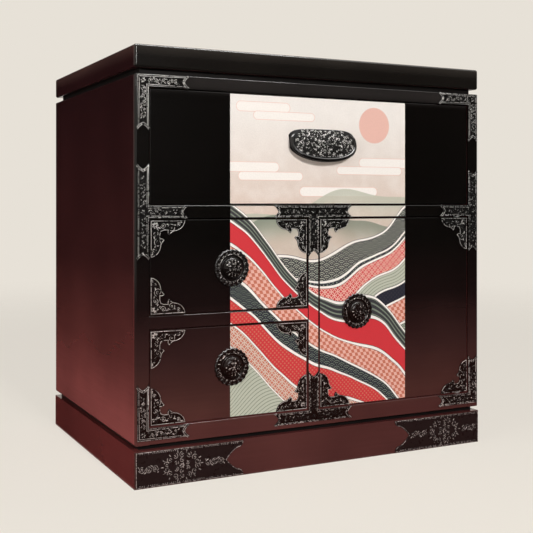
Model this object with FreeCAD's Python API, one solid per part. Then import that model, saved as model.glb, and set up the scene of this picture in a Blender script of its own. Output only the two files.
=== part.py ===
import FreeCAD, Part
import math
import os

# A lacquered side cabinet with iron fittings: a drop-front flap above two drawers and a door.
# Millimetres. X runs across the front, Y from front to back and Z up from the floor.
# The origin is on the floor, in the middle of the space that the cabinet takes up.

# The whole cabinet, without its pull and knobs
width = 580.0
depth = 425.0
height = 600.0

# Boards of the body
board = 18.0
side_board = 20.5
bottom_board = 23.5
top_slab = 32.0
top_neck_height = 8.0
top_neck_inset = 10.5
base_neck_height = 7.0
base_neck_inset = 8.5
neck_batten = 40.0
plinth_height = 51.0
plinth_board = 24.0
corner_block = 40.0
corner_block_lift = 6.0
back_board = 6.0
back_rebate = 8.0
housing_depth = 5.0
housing_stop = 12.0
outer_round = 3.5
frame_round = 1.2

# Openings in the front, and the fronts that fill them
flap_opening = 160.0
drawer_opening = 246.0
rail_depth = 60.0
reveal = 1.5
front_board = 18.0
front_setback = 1.0
front_round = 1.0
print_width = 297.0
print_thickness = 0.5
print_margin = 1.0

# Drawer boxes
drawer_side = 10.0
drawer_bottom = 5.0
drawer_bottom_lift = 10.0
drawer_head_room = 8.0
drawer_end_gap = 33.0
front_lap = 8.0
groove_depth = 4.0
running_gap = 0.3
runner_width = 22.0
stop_width = 30.0
stop_depth = 14.0
stop_height = 7.0
stop_offset = 60.0

# Shelf behind the door
shelf_board = 15.0
shelf_height = 133.0
shelf_setback = 30.0
shelf_play = 1.0
shelf_pin = 5.0
shelf_pin_reach = 10.0
shelf_pin_margin = 45.0

# Pivots of the flap and the door
pivot_pin = 4.0
pivot_pin_seat = 10.0
pivot_depth = 5.5
flap_pivot_rise = 14.0
door_pivot_inset = 16.0
pivot_bush = 7.0
flap_cartridge = 8.0
flap_cartridge_length = 34.0
door_bush_length = 14.0
pivot_washer = 9.0
pin_play = 0.05
seat_play = 0.02

# Magnet catches and their strike plates
catch_width = 36.0
catch_depth = 20.0
catch_height = 12.0
catch_gap = 0.3
catch_offset = 12.0
strike_width = 28.0
strike_height = 10.0
strike_thickness = 1.2

# Iron plates on the frame
plate = 1.5
strip_width = 16.5
strip_inset = 0.75
strip_side_inset = 3.6
corner_arm = 76.5
tee_reach = 66.0
tee_arm = 74.0
tail_notch = 8.0
tail_bow = 1.2
nail_head = 2.6
nail_shank = 1.2
nail_length = 9.0
nail_margin = 13.0

# Cloud plates on the corners of the drawers and the door
cloud_inset = 1.0
cloud_leg = 50.0
cloud_band = 13.6
cloud_lobe_out = 20.0
cloud_lobe_along = 27.0
cloud_lobe_root = 24.5
cloud_shoulder_out = 14.5
cloud_shoulder_along = 37.0
cloud_tip = 1.5
cloud_arc_bow = 3.0
cloud_nail = 6.5
cloud_nail_along = 37.5

# Straps on the ends of the plinth
strap_length = 161.0
strap_edge = 1.5
strap_bay = 26.0
strap_curl = 9.0
strap_bow = 2.0
strap_nail_edge = 5.0

# Cup pull on the flap: an awning that leans out from its flat top to a rounded lip
pull_width = 114.0
pull_above = 24.0
pull_below = 26.0
pull_projection = 17.0
pull_dip = 1.0
pull_wall = 3.0
pull_lip = 5.0
pull_rise = 9.0
pull_top_square = 3.8
pull_low_square = 2.1
pull_plan_square = 2.4
pull_slices = 6
pull_end_margin = 1.6
pull_boss = 10.0
pull_boss_spread = 76.0
pull_boss_rise = 1.0
pull_boss_share = 0.51

# Rosette knobs
knob_width = 54.0
knob_petals = 22
petal_cut = 1.4
petal_plate = 4.0
inner_ring_width = 40.0
inner_ring_plate = 5.5
knob_boss = 29.0
knob_projection = 10.5
knob_boss_round = 4.0
petal_round = 1.0
upper_knob_rise = -4.0
lower_knob_rise = 7.0
door_knob_inset = 64.5

# Screws
screw_shank = 4.0
screw_head = 8.0
screw_head_height = 2.5
screw_play = 0.2
neck_screw_bite = 18.0
knob_screw_bite = 6.5
pull_screw_bite = 7.0

# Levels, from the floor up
body_bottom = plinth_height + base_neck_height
floor_z = body_bottom + bottom_board
body_top = height - top_slab - top_neck_height
ceiling_z = body_top - board
mid_top = ceiling_z - flap_opening
mid_bottom = mid_top - board
drawer_space = (mid_bottom - floor_z - board) / 2
rail_bottom = floor_z + drawer_space
rail_top = rail_bottom + board

# Places from front to back
front_reach = max(pull_projection, knob_projection) - front_setback
back_y = (depth + front_reach) / 2
face_y = back_y - depth
front_y = face_y + front_setback
front_back_y = front_y + front_board
inner_back_y = back_y - back_board

# Places across the front
left_x = -width / 2
right_x = width / 2
inner_left = left_x + side_board
inner_right = right_x - side_board
divider_left = inner_left + drawer_opening
divider_right = divider_left + board
divider_mid = (divider_left + divider_right) / 2
drawer_mid = (inner_left + divider_left) / 2

# Pivot axes and the pull's middle
flap_axis_y = front_y + pivot_depth
flap_axis_z = mid_top + reveal + flap_pivot_rise
door_axis_x = inner_right - reveal - door_pivot_inset
door_axis_y = front_y + pivot_depth
pull_z = (mid_top + ceiling_z) / 2 + pull_rise
mid_board_z = (mid_top + mid_bottom) / 2
door_knob_x = divider_right + reveal + door_knob_inset
door_knob_z = (floor_z + mid_bottom) / 2

AHEAD = FreeCAD.Vector(0, -1, 0)
BACK = FreeCAD.Vector(0, 1, 0)
UP = FreeCAD.Vector(0, 0, 1)
DOWN = FreeCAD.Vector(0, 0, -1)
ACROSS = FreeCAD.Vector(1, 0, 0)
TOUCH = 1e-4
PAST = 1.0

os.makedirs("parts", exist_ok=True)


def save(node, *solids):
    """Write one node, as one solid or as a group of separate solids."""
    shape = solids[0] if len(solids) == 1 else Part.makeCompound(solids)
    shape.exportStep("parts/" + node + ".step")


def block(x0, x1, y0, y1, z0, z1):
    """A box between two corners."""
    return Part.makeBox(x1 - x0, y1 - y0, z1 - z0, FreeCAD.Vector(x0, y0, z0))


def rod(diameter, start, direction, length):
    """A round rod from a point along a direction."""
    return Part.makeCylinder(diameter / 2, length, start, direction)


def cut_all(solid, tools):
    """The solid less every tool that reaches it."""
    near = [tool for tool in tools if solid.BoundBox.intersect(tool.BoundBox)]
    return solid.cut(near) if near else solid


def soften(solid, radius, test):
    """Round every edge that passes the test."""
    return solid.makeFillet(radius, [edge for edge in solid.Edges if test(edge)])


def edge_at_y(y):
    """A test for edges that lie at one depth."""
    return lambda edge: all(abs(vertex.Point.y - y) < TOUCH for vertex in edge.Vertexes)


def edge_at_x(x):
    """A test for edges that lie at one place across the front."""
    return lambda edge: all(abs(vertex.Point.x - x) < TOUCH for vertex in edge.Vertexes)


class Seat:
    """A place on an upright face: u runs across and v upwards, each either way, from one point."""

    def __init__(self, x, y, z, across=1, up=1):
        self.x = x
        self.y = y
        self.z = z
        self.across = across
        self.up = up

    def point(self, u, v):
        """The point at u, v on the face."""
        return FreeCAD.Vector(self.x + self.across * u, self.y, self.z + self.up * v)

    def outline(self, start, *steps):
        """A closed wire: a step of two numbers is a line to a point, of four an arc by way of one."""
        edges = []
        here = self.point(*start)
        for step in steps:
            there = self.point(*step[-2:])
            if len(step) == 4:
                edges.append(Part.Arc(here, self.point(*step[:2]), there).toShape())
            else:
                edges.append(Part.LineSegment(here, there).toShape())
            here = there
        return Part.Wire(edges)

    def slab(self, thickness, start, *steps):
        """A flat plate that stands ahead of the face."""
        return Part.Face(self.outline(start, *steps)).extrude(AHEAD * thickness)

    def strip(self, u0, u1, v0, v1):
        """A straight iron strip."""
        return self.slab(plate, (u0, v0), (u1, v0), (u1, v1), (u0, v1), (u0, v0))

    def tail_cut(self, u, v, out_u, out_v):
        """The notch that makes a swallow tail at the end of a strip, where the strip points outwards."""
        half = strip_width / 2
        side_u = out_v * half
        side_v = out_u * half
        apex = (u - out_u * tail_notch, v - out_v * tail_notch)
        mid_depth = tail_notch / 2 + tail_bow
        first = (u - out_u * mid_depth + side_u / 2, v - out_v * mid_depth + side_v / 2)
        second = (u - out_u * mid_depth - side_u / 2, v - out_v * mid_depth - side_v / 2)
        start = (u + side_u, v + side_v)
        end = (u - side_u, v - side_v)
        return self.slab(plate, start, first + apex, second + end, start)

    def nails(self, *places):
        """Points on the front of a plate where nails go in."""
        return [self.point(u, v) + AHEAD * plate for u, v in places]


def nail(point):
    """A round-headed nail."""
    head = Part.makeSphere(nail_head / 2, point, AHEAD, 0, 90, 360)
    return head.fuse(rod(nail_shank, point, BACK, nail_length))


def nail_hole(point):
    """The hole for a nail, through the plate and into the wood."""
    return rod(nail_shank + 2 * seat_play, point, BACK, nail_length + seat_play)


def joined_strips(strips, notches, nail_points):
    """Strips in one plate, with their ends notched and their nail holes made."""
    shape = strips[0].fuse(strips[1:]).removeSplitter()
    return shape.cut(notches + [nail_hole(point) for point in nail_points])


def corner_bracket(seat):
    """An angle for a corner of the frame, with the seat at its own corner."""
    half = strip_width / 2
    far = corner_arm - nail_margin
    points = seat.nails((half, half), (far, half), (half, far))
    strips = [seat.strip(0, corner_arm, 0, strip_width), seat.strip(0, strip_width, 0, corner_arm)]
    notches = [seat.tail_cut(corner_arm, half, 1, 0), seat.tail_cut(half, corner_arm, 0, 1)]
    return joined_strips(strips, notches, points), points


def side_bracket(seat):
    """A tee lying on its side, with the seat at its own outer edge, level with the middle board."""
    half = strip_width / 2
    far = tee_reach - nail_margin
    points = seat.nails((half, far), (half, 0), (half, -far), (tee_arm - nail_margin, 0))
    strips = [seat.strip(0, strip_width, -tee_reach, tee_reach), seat.strip(0, tee_arm, -half, half)]
    notches = [
        seat.tail_cut(half, tee_reach, 0, 1),
        seat.tail_cut(half, -tee_reach, 0, -1),
        seat.tail_cut(tee_arm, 0, 1, 0),
    ]
    return joined_strips(strips, notches, points), points


def centre_bracket(seat):
    """A tee where the divider meets a board, with the seat where their middle lines cross."""
    half = strip_width / 2
    far = tee_reach - nail_margin
    points = seat.nails((-far, 0), (0, 0), (far, 0), (0, far))
    strips = [seat.strip(-tee_reach, tee_reach, -half, half), seat.strip(-half, half, -half, tee_reach)]
    notches = [
        seat.tail_cut(tee_reach, 0, 1, 0),
        seat.tail_cut(-tee_reach, 0, -1, 0),
        seat.tail_cut(0, tee_reach, 0, 1),
    ]
    return joined_strips(strips, notches, points), points


def cloud_plate(seat):
    """A cloud-shaped corner plate, alike about its diagonal, with the seat at its own corner."""
    lobe = (cloud_lobe_along, cloud_lobe_out)
    root = (cloud_lobe_root, cloud_band)
    shoulder = (cloud_shoulder_along, cloud_shoulder_out)
    lobe_way_out = (cloud_shoulder_out + cloud_lobe_out) / 2 - cloud_tip
    lobe_way = ((cloud_shoulder_along + cloud_lobe_along) / 2, lobe_way_out)
    root_way = (cloud_lobe_root, (cloud_band + cloud_lobe_out) / 2)
    arc_way_along = (cloud_leg + cloud_shoulder_along) / 2 + cloud_arc_bow
    arc_way = (arc_way_along, (cloud_shoulder_out + cloud_arc_bow) / 2)
    inner = (cloud_band + cloud_tip, cloud_band + cloud_tip)
    inner_way = ((cloud_band + cloud_lobe_root) / 2, cloud_band)

    def swap(pair):
        return (pair[1], pair[0])

    plate_shape = seat.slab(
        plate,
        (0, 0),
        (cloud_leg, 0),
        (cloud_leg, cloud_tip),
        arc_way + shoulder,
        lobe_way + lobe,
        root_way + root,
        inner_way,
        inner,
        swap(inner_way),
        swap(root),
        swap(root_way) + swap(lobe),
        swap(lobe_way) + swap(shoulder),
        swap(arc_way) + (cloud_tip, cloud_leg),
        (0, cloud_leg),
        (0, 0),
    )
    far_nail = (cloud_nail_along, cloud_nail)
    points = seat.nails((cloud_nail, cloud_nail), far_nail, swap(far_nail))
    return plate_shape.cut([nail_hole(point) for point in points]), points


def plinth_strap(seat):
    """A wide strap with a bayed end, with the seat at the plinth's outer edge and mid height."""
    half = plinth_height / 2 - strap_edge
    apex = strap_length - strap_bay
    curl_u = strap_length - strap_curl
    curl_v = half - strap_curl
    lobe_u = strap_length - strap_curl / 2 + strap_bow
    lobe_v = half - strap_curl / 2 - strap_bow
    hollow_u = (curl_u + apex) / 2 - strap_bow
    plate_shape = seat.slab(
        plate,
        (strap_edge, -half),
        (strap_length, -half),
        (lobe_u, -lobe_v, curl_u, -curl_v),
        (hollow_u, -curl_v / 2, apex, 0),
        (hollow_u, curl_v / 2, curl_u, curl_v),
        (lobe_u, lobe_v, strap_length, half),
        (strap_edge, half),
        (strap_edge, -half),
    )
    top = half - strap_nail_edge
    along = [strap_edge + strap_nail_edge, strap_length / 2, strap_length - strap_nail_edge * 3]
    points = seat.nails(*[(u, v) for u in along for v in (-top, top)])
    return plate_shape.cut([nail_hole(point) for point in points]), points


def mitred_board(length, thickness, tall, z0):
    """A plinth board with mitred ends, lying along X with its outer face at Y zero."""
    half = length / 2
    inner = half - thickness
    corners = [(-half, 0), (half, 0), (inner, thickness), (-inner, thickness), (-half, 0)]
    wire = Part.makePolygon([FreeCAD.Vector(x, y, z0) for x, y in corners])
    return Part.Face(wire).extrude(UP * tall)


def scalloped_disc(x, z, diameter, thickness, turn):
    """A disc with a petalled edge, standing ahead of the fronts."""
    pitch = 2 * math.pi / knob_petals
    tip = diameter / 2
    valley = tip - petal_cut

    def at(radius, angle):
        return FreeCAD.Vector(x + radius * math.cos(angle), front_y, z + radius * math.sin(angle))

    edges = []
    for petal in range(knob_petals):
        start = (petal + turn) * pitch
        middle = at(tip, start + pitch / 2)
        edges.append(Part.Arc(at(valley, start), middle, at(valley, start + pitch)).toShape())
    disc = Part.Face(Part.Wire(edges)).extrude(AHEAD * thickness)
    return soften(disc, petal_round, edge_at_y(front_y - thickness))


def knob(x, z):
    """A rosette knob and the screw that holds it, through a front board."""
    centre = FreeCAD.Vector(x, front_y, z)
    boss = rod(knob_boss, centre, AHEAD, knob_projection)
    boss = soften(boss, knob_boss_round, edge_at_y(front_y - knob_projection))
    petals = scalloped_disc(x, z, knob_width, petal_plate, 0)
    ring = scalloped_disc(x, z, inner_ring_width, inner_ring_plate, 1 / 2)
    body = petals.fuse([ring, boss]).removeSplitter()
    body = body.cut(rod(screw_shank + 2 * seat_play, centre, AHEAD, knob_screw_bite + seat_play))
    return body, through_screw(centre, knob_screw_bite)


def through_screw(point, bite):
    """A pan-headed screw from inside a front board into what stands on its face."""
    inside = FreeCAD.Vector(point.x, front_back_y, point.z)
    head = rod(screw_head, inside, BACK, screw_head_height)
    return head.fuse(rod(screw_shank, inside, AHEAD, front_board + bite))


def screw_hole(point):
    """The hole for such a screw, through a front board."""
    return rod(screw_shank + 2 * screw_play, point + AHEAD * PAST, BACK, front_board + 2 * PAST)


def front_panel(x0, x1, z0, z1):
    """A front board in its opening, with the reveal round it and its face edges eased."""
    panel = block(x0 + reveal, x1 - reveal, front_y, front_back_y, z0 + reveal, z1 - reveal)
    return soften(panel, front_round, edge_at_y(front_y))


def part_print(solid, y):
    """Divide a board into the board and the print that is let into its face, short of its edges."""
    half = print_width / 2
    box = solid.BoundBox
    x0 = max(-half, box.XMin + print_margin)
    x1 = min(half, box.XMax - print_margin)
    slab = block(x0, x1, y - PAST, y + print_thickness, box.ZMin + print_margin, box.ZMax - print_margin)
    return solid.cut(slab), solid.common(slab)


def four_clouds(x0, x1, z0, z1):
    """The cloud plates on the four corners of a front, with their nail points."""
    inset = reveal + cloud_inset
    seats = [
        Seat(x, front_y, z, across, up)
        for x, across in ((x0 + inset, 1), (x1 - inset, -1))
        for z, up in ((z0 + inset, 1), (z1 - inset, -1))
    ]
    made = [cloud_plate(seat) for seat in seats]
    return [shape for shape, points in made], [point for shape, points in made for point in points]


def strike(x0, z0):
    """A strike plate let into the back of a front."""
    y0 = front_back_y - strike_thickness
    return block(x0, x0 + strike_width, y0, front_back_y, z0, z0 + strike_height)


def countersunk_screw(point, direction, length):
    """A wood screw whose head lies flush with the face that it enters."""
    head = Part.makeCone(screw_head / 2, screw_shank / 2, screw_head_height, point, direction)
    return head.fuse(rod(screw_shank, point, direction, length))


def countersunk_hole(point, direction, length):
    """The hole for such a screw."""
    wide = screw_head + 2 * seat_play
    narrow = screw_shank + 2 * seat_play
    head = Part.makeCone(wide / 2, narrow / 2, screw_head_height, point, direction)
    return head.fuse(rod(narrow, point, direction, length + seat_play))


def make_drawer(name, z0, z1, knob_rise):
    """One drawer: its box, front, print, knob, cloud plates and fixings."""
    x0 = inner_left + reveal
    x1 = divider_left - reveal
    low = z0 + running_gap
    high = z1 - drawer_head_room
    lap_y = front_back_y - front_lap
    end_y = inner_back_y - drawer_end_gap
    bottom_z = low + drawer_bottom_lift
    bottom_top = bottom_z + drawer_bottom
    groove_x0 = x0 + drawer_side - groove_depth
    groove_x1 = x1 - drawer_side + groove_depth
    bottom = block(groove_x0, groove_x1, front_back_y - groove_depth, end_y, bottom_z, bottom_top)
    left = block(x0, x0 + drawer_side, lap_y, end_y, low, high)
    right = block(x1 - drawer_side, x1, lap_y, end_y, low, high)
    back = block(x0 + drawer_side, x1 - drawer_side, end_y - drawer_side, end_y, bottom_top, high)

    knob_z = (z0 + z1) / 2 + knob_rise
    knob_body, knob_screw = knob(drawer_mid, knob_z)
    clouds, points = four_clouds(inner_left, divider_left, z0, z1)
    holes = [nail_hole(point) for point in points]
    holes.append(screw_hole(FreeCAD.Vector(drawer_mid, front_y, knob_z)))
    front, print_sheet = part_print(front_panel(inner_left, divider_left, z0, z1), front_y)
    front = cut_all(front, holes + [left, right, bottom])

    save(name + "_front", front)
    save(name + "_print", cut_all(print_sheet, holes))
    save(name + "_sides", left.cut(bottom), right.cut(bottom))
    save(name + "_back", back)
    save(name + "_bottom", bottom)
    save(name + "_knob", knob_body)
    save(name + "_corner_plates", *clouds)
    save(name + "_fixings", knob_screw, *[nail(point) for point in points])


def make_flap():
    """The drop-front flap: its panel, print, cup pull, friction cartridges and strike plate."""
    axis_left = FreeCAD.Vector(inner_left + reveal, flap_axis_y, flap_axis_z)
    axis_right = FreeCAD.Vector(inner_right - reveal, flap_axis_y, flap_axis_z)
    cartridges = []
    seats = []
    for start, direction in ((axis_left, ACROSS), (axis_right, -ACROSS)):
        body = rod(flap_cartridge, start, direction, flap_cartridge_length)
        bore = rod(pivot_pin + 2 * pin_play, start, direction, pivot_pin_seat + PAST)
        cartridges.append(body.cut(bore))
        seat_length = flap_cartridge_length + seat_play
        seats.append(rod(flap_cartridge + 2 * seat_play, start, direction, seat_length))

    screw_points = [
        FreeCAD.Vector(side * pull_boss_spread / 2, front_y, pull_z + pull_boss_rise) for side in (-1, 1)
    ]
    plate_top = ceiling_z - reveal - seat_play
    flap_strike = strike(-strike_width / 2, plate_top - strike_height)
    panel, print_sheet = part_print(front_panel(inner_left, inner_right, mid_top, ceiling_z), front_y)
    holes = [screw_hole(point) for point in screw_points]
    save("flap_panel", cut_all(panel, holes + seats + [flap_strike]))
    save("flap_print", cut_all(print_sheet, holes))
    save("flap_pull", cup_pull(screw_points))
    save("flap_pull_screws", *[through_screw(point, pull_screw_bite) for point in screw_points])
    save("flap_friction_cartridges", *cartridges)
    save("flap_strike", flap_strike)


def rounded(share, square):
    """How much of its full reach a rounded form keeps at a share of its half width."""
    return (1 - abs(share) ** square) ** (1 / square)


def leaning_way(reach, tall):
    """The middle of an arc that stands upright at its foot and leans back by its reach over its height."""
    radius = (reach ** 2 + tall ** 2) / (2 * reach)
    half_angle = math.atan2(tall, radius - reach) / 2
    return reach - radius + radius * math.cos(half_angle), radius * math.sin(half_angle)


def pull_slice(share):
    """The pull's hollow section at a share of its half width."""
    x = share * pull_width / 2
    reach = pull_projection * rounded(share, pull_plan_square)
    dip = pull_dip * math.cos(share * math.pi / 2)
    top = pull_above * rounded(share, pull_top_square) - dip
    low = -pull_below * rounded(share, pull_low_square)
    wall = min(pull_wall, (top - low) / 4, reach / 4)
    lip = min(pull_lip, (top - low) / 3, reach / 3)
    crest_z = low + lip
    heel_z = low + lip / 2

    def at(out, z):
        return FreeCAD.Vector(x, front_y - out, pull_z + z)

    def leaning(out, foot_z, head_z):
        way_out, way_up = leaning_way(out, head_z - foot_z)
        return Part.Arc(at(0, head_z), at(way_out, foot_z + way_up), at(out, foot_z)).toShape()

    tip = at(reach - lip / 2, low)
    edges = [
        leaning(reach, crest_z, top),
        Part.Arc(at(reach, crest_z), at(reach - lip / 8, low + lip / 4), tip).toShape(),
        Part.LineSegment(tip, at(reach - lip, heel_z)).toShape(),
        leaning(reach - lip, heel_z, top - wall),
        Part.LineSegment(at(0, top - wall), at(0, top)).toShape(),
    ]
    return Part.Wire(edges)


def cup_pull(screw_points):
    """A hollow cup that fingers reach into from below, with two bosses that end inside its wall."""
    last = 1 - 2 * pull_end_margin / pull_width
    steps = range(-pull_slices, pull_slices + 1)
    shares = [last * math.sin(math.pi / 2 * step / pull_slices) for step in steps]
    shell = Part.makeLoft([pull_slice(share) for share in shares], True)
    bosses = [rod(pull_boss, point, AHEAD, pull_boss_share * pull_projection) for point in screw_points]
    bore = screw_shank + 2 * seat_play
    bores = [rod(bore, point, AHEAD, pull_screw_bite + seat_play) for point in screw_points]
    return shell.fuse(bosses).cut(bores)


def make_door():
    """The door: its panel, print, knob, cloud plates, pivot bushes and strike plate."""
    low = FreeCAD.Vector(door_axis_x, door_axis_y, floor_z + reveal)
    high = FreeCAD.Vector(door_axis_x, door_axis_y, mid_bottom - reveal)
    bushes = []
    seats = []
    for start, direction in ((low, UP), (high, DOWN)):
        body = rod(pivot_bush, start, direction, door_bush_length)
        bushes.append(body.cut(rod(pivot_pin + 2 * pin_play, start, direction, door_bush_length)))
        seats.append(rod(pivot_bush + 2 * seat_play, start, direction, door_bush_length))

    knob_body, knob_screw = knob(door_knob_x, door_knob_z)
    clouds, points = four_clouds(divider_right, inner_right, floor_z, mid_bottom)
    holes = [nail_hole(point) for point in points]
    holes.append(screw_hole(FreeCAD.Vector(door_knob_x, front_y, door_knob_z)))
    strike_x = divider_right + reveal + catch_offset + (catch_width - strike_width) / 2
    door_strike = strike(strike_x, mid_bottom - reveal - seat_play - strike_height)
    panel, print_sheet = part_print(front_panel(divider_right, inner_right, floor_z, mid_bottom), front_y)
    save("door_panel", cut_all(panel, holes + seats + [door_strike]))
    save("door_print", cut_all(print_sheet, holes))
    save("door_knob", knob_body)
    save("door_corner_plates", *clouds)
    save("door_fixings", knob_screw, *[nail(point) for point in points])
    save("door_pivot_bushes", *bushes)
    save("door_strike", door_strike)


def make_fittings():
    """The iron plates and straps on the frame. Their nail points are handed back."""
    bracket_top = body_top - strip_inset
    bracket_floor = floor_z - board + strip_inset
    stiles = ((left_x + strip_side_inset, 1), (right_x - strip_side_inset, -1))
    ends = ((left_x, 1), (right_x, -1))
    corners_top = [corner_bracket(Seat(x, face_y, bracket_top, inward, -1)) for x, inward in stiles]
    corners_low = [corner_bracket(Seat(x, face_y, bracket_floor, inward)) for x, inward in stiles]
    sides = [side_bracket(Seat(x, face_y, mid_board_z, inward)) for x, inward in stiles]
    top_tee = centre_bracket(Seat(divider_mid, face_y, mid_board_z, 1, -1))
    low_tee = centre_bracket(Seat(divider_mid, face_y, floor_z - board / 2))
    straps = [plinth_strap(Seat(x, face_y, plinth_height / 2, inward)) for x, inward in ends]
    for node, made in (
        ("corner_brackets_top", corners_top),
        ("corner_brackets_bottom", corners_low),
        ("side_brackets", sides),
        ("centre_bracket_top", [top_tee]),
        ("centre_bracket_bottom", [low_tee]),
        ("plinth_straps", straps),
    ):
        save(node, *[shape for shape, points in made])
    every = corners_top + corners_low + sides + [top_tee, low_tee] + straps
    all_points = [point for shape, points in every for point in points]
    save("frame_nails", *[nail(point) for point in all_points])
    return [nail_hole(point) for point in all_points]


def neck_frame(inset, z0, tall):
    """Four battens in a ring, set in from the edges of the body."""
    x0 = left_x + inset
    x1 = right_x - inset
    y0 = face_y + inset
    y1 = back_y - inset
    return [
        block(x0, x1, y0, y0 + neck_batten, z0, z0 + tall),
        block(x0, x1, y1 - neck_batten, y1, z0, z0 + tall),
        block(x0, x0 + neck_batten, y0 + neck_batten, y1 - neck_batten, z0, z0 + tall),
        block(x1 - neck_batten, x1, y0 + neck_batten, y1 - neck_batten, z0, z0 + tall),
    ]


def neck_screws(inset, z, direction, length):
    """Screws at the four corners of a neck, with their holes."""
    away = inset + neck_batten / 2
    points = [
        FreeCAD.Vector(x, y, z)
        for x in (left_x + away, right_x - away)
        for y in (face_y + away, back_y - away)
    ]
    screws = [countersunk_screw(point, direction, length) for point in points]
    return screws, [countersunk_hole(point, direction, length) for point in points]


def housed_board(x0, x1, z0, z1, y1):
    """A level board whose ends are housed in its neighbours, but for a stretch at the front."""
    middle = block(x0, x1, face_y, y1, z0, z1)
    middle = soften(middle, frame_round, edge_at_y(face_y))
    tongue = block(x0 - housing_depth, x1 + housing_depth, face_y + housing_stop, y1, z0, z1)
    return middle.fuse(tongue).removeSplitter()


def pivot_pins():
    """The pins that the flap and the door turn on. The lower door pin has a washer under the door."""
    flap_pins = []
    for x, direction in ((inner_left, ACROSS), (inner_right, -ACROSS)):
        start = FreeCAD.Vector(x, flap_axis_y, flap_axis_z) - direction * pivot_pin_seat
        flap_pins.append(rod(pivot_pin, start, direction, 2 * pivot_pin_seat + reveal))
    door_pins = []
    for z, direction in ((floor_z, UP), (mid_bottom, DOWN)):
        face = FreeCAD.Vector(door_axis_x, door_axis_y, z)
        pin = rod(pivot_pin, face - direction * pivot_pin_seat, direction, 2 * pivot_pin_seat + reveal)
        door_pins.append(pin.fuse(rod(pivot_washer, face, direction, reveal - running_gap)))
    return flap_pins, door_pins


def pin_seats(pins):
    """The holes that the pins are driven into."""
    holes = []
    for pin in pins:
        box = pin.BoundBox
        if box.XLength > box.ZLength:
            start = FreeCAD.Vector(box.XMin - seat_play, flap_axis_y, flap_axis_z)
            holes.append(rod(pivot_pin + 2 * seat_play, start, ACROSS, box.XLength + 2 * seat_play))
        else:
            start = FreeCAD.Vector(door_axis_x, door_axis_y, box.ZMin - seat_play)
            holes.append(rod(pivot_pin + 2 * seat_play, start, UP, box.ZLength + 2 * seat_play))
    return holes


def shelf_and_pins():
    """The loose shelf behind the door, and the pins that it lies on."""
    x0 = divider_right + shelf_play
    x1 = inner_right - shelf_play
    y0 = front_back_y + shelf_setback
    y1 = inner_back_y - shelf_play
    z0 = floor_z + shelf_height
    shelf = block(x0, x1, y0, y1, z0, z0 + shelf_board)
    pins = []
    for x, inward in ((divider_right, ACROSS), (inner_right, -ACROSS)):
        for y in (y0 + shelf_pin_margin, y1 - shelf_pin_margin):
            start = FreeCAD.Vector(x, y, z0 - shelf_pin / 2) - inward * shelf_pin_reach
            pins.append(rod(shelf_pin, start, inward, 2 * shelf_pin_reach))
    return shelf, pins


def catches():
    """Magnet catches that stop the flap and the door, under the boards above them."""
    y0 = front_back_y + catch_gap
    y1 = y0 + catch_depth
    door_x = divider_right + reveal + catch_offset
    flap_catch = block(-catch_width / 2, catch_width / 2, y0, y1, ceiling_z - catch_height, ceiling_z)
    door_catch = block(door_x, door_x + catch_width, y0, y1, mid_bottom - catch_height, mid_bottom)
    return [flap_catch, door_catch]


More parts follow.
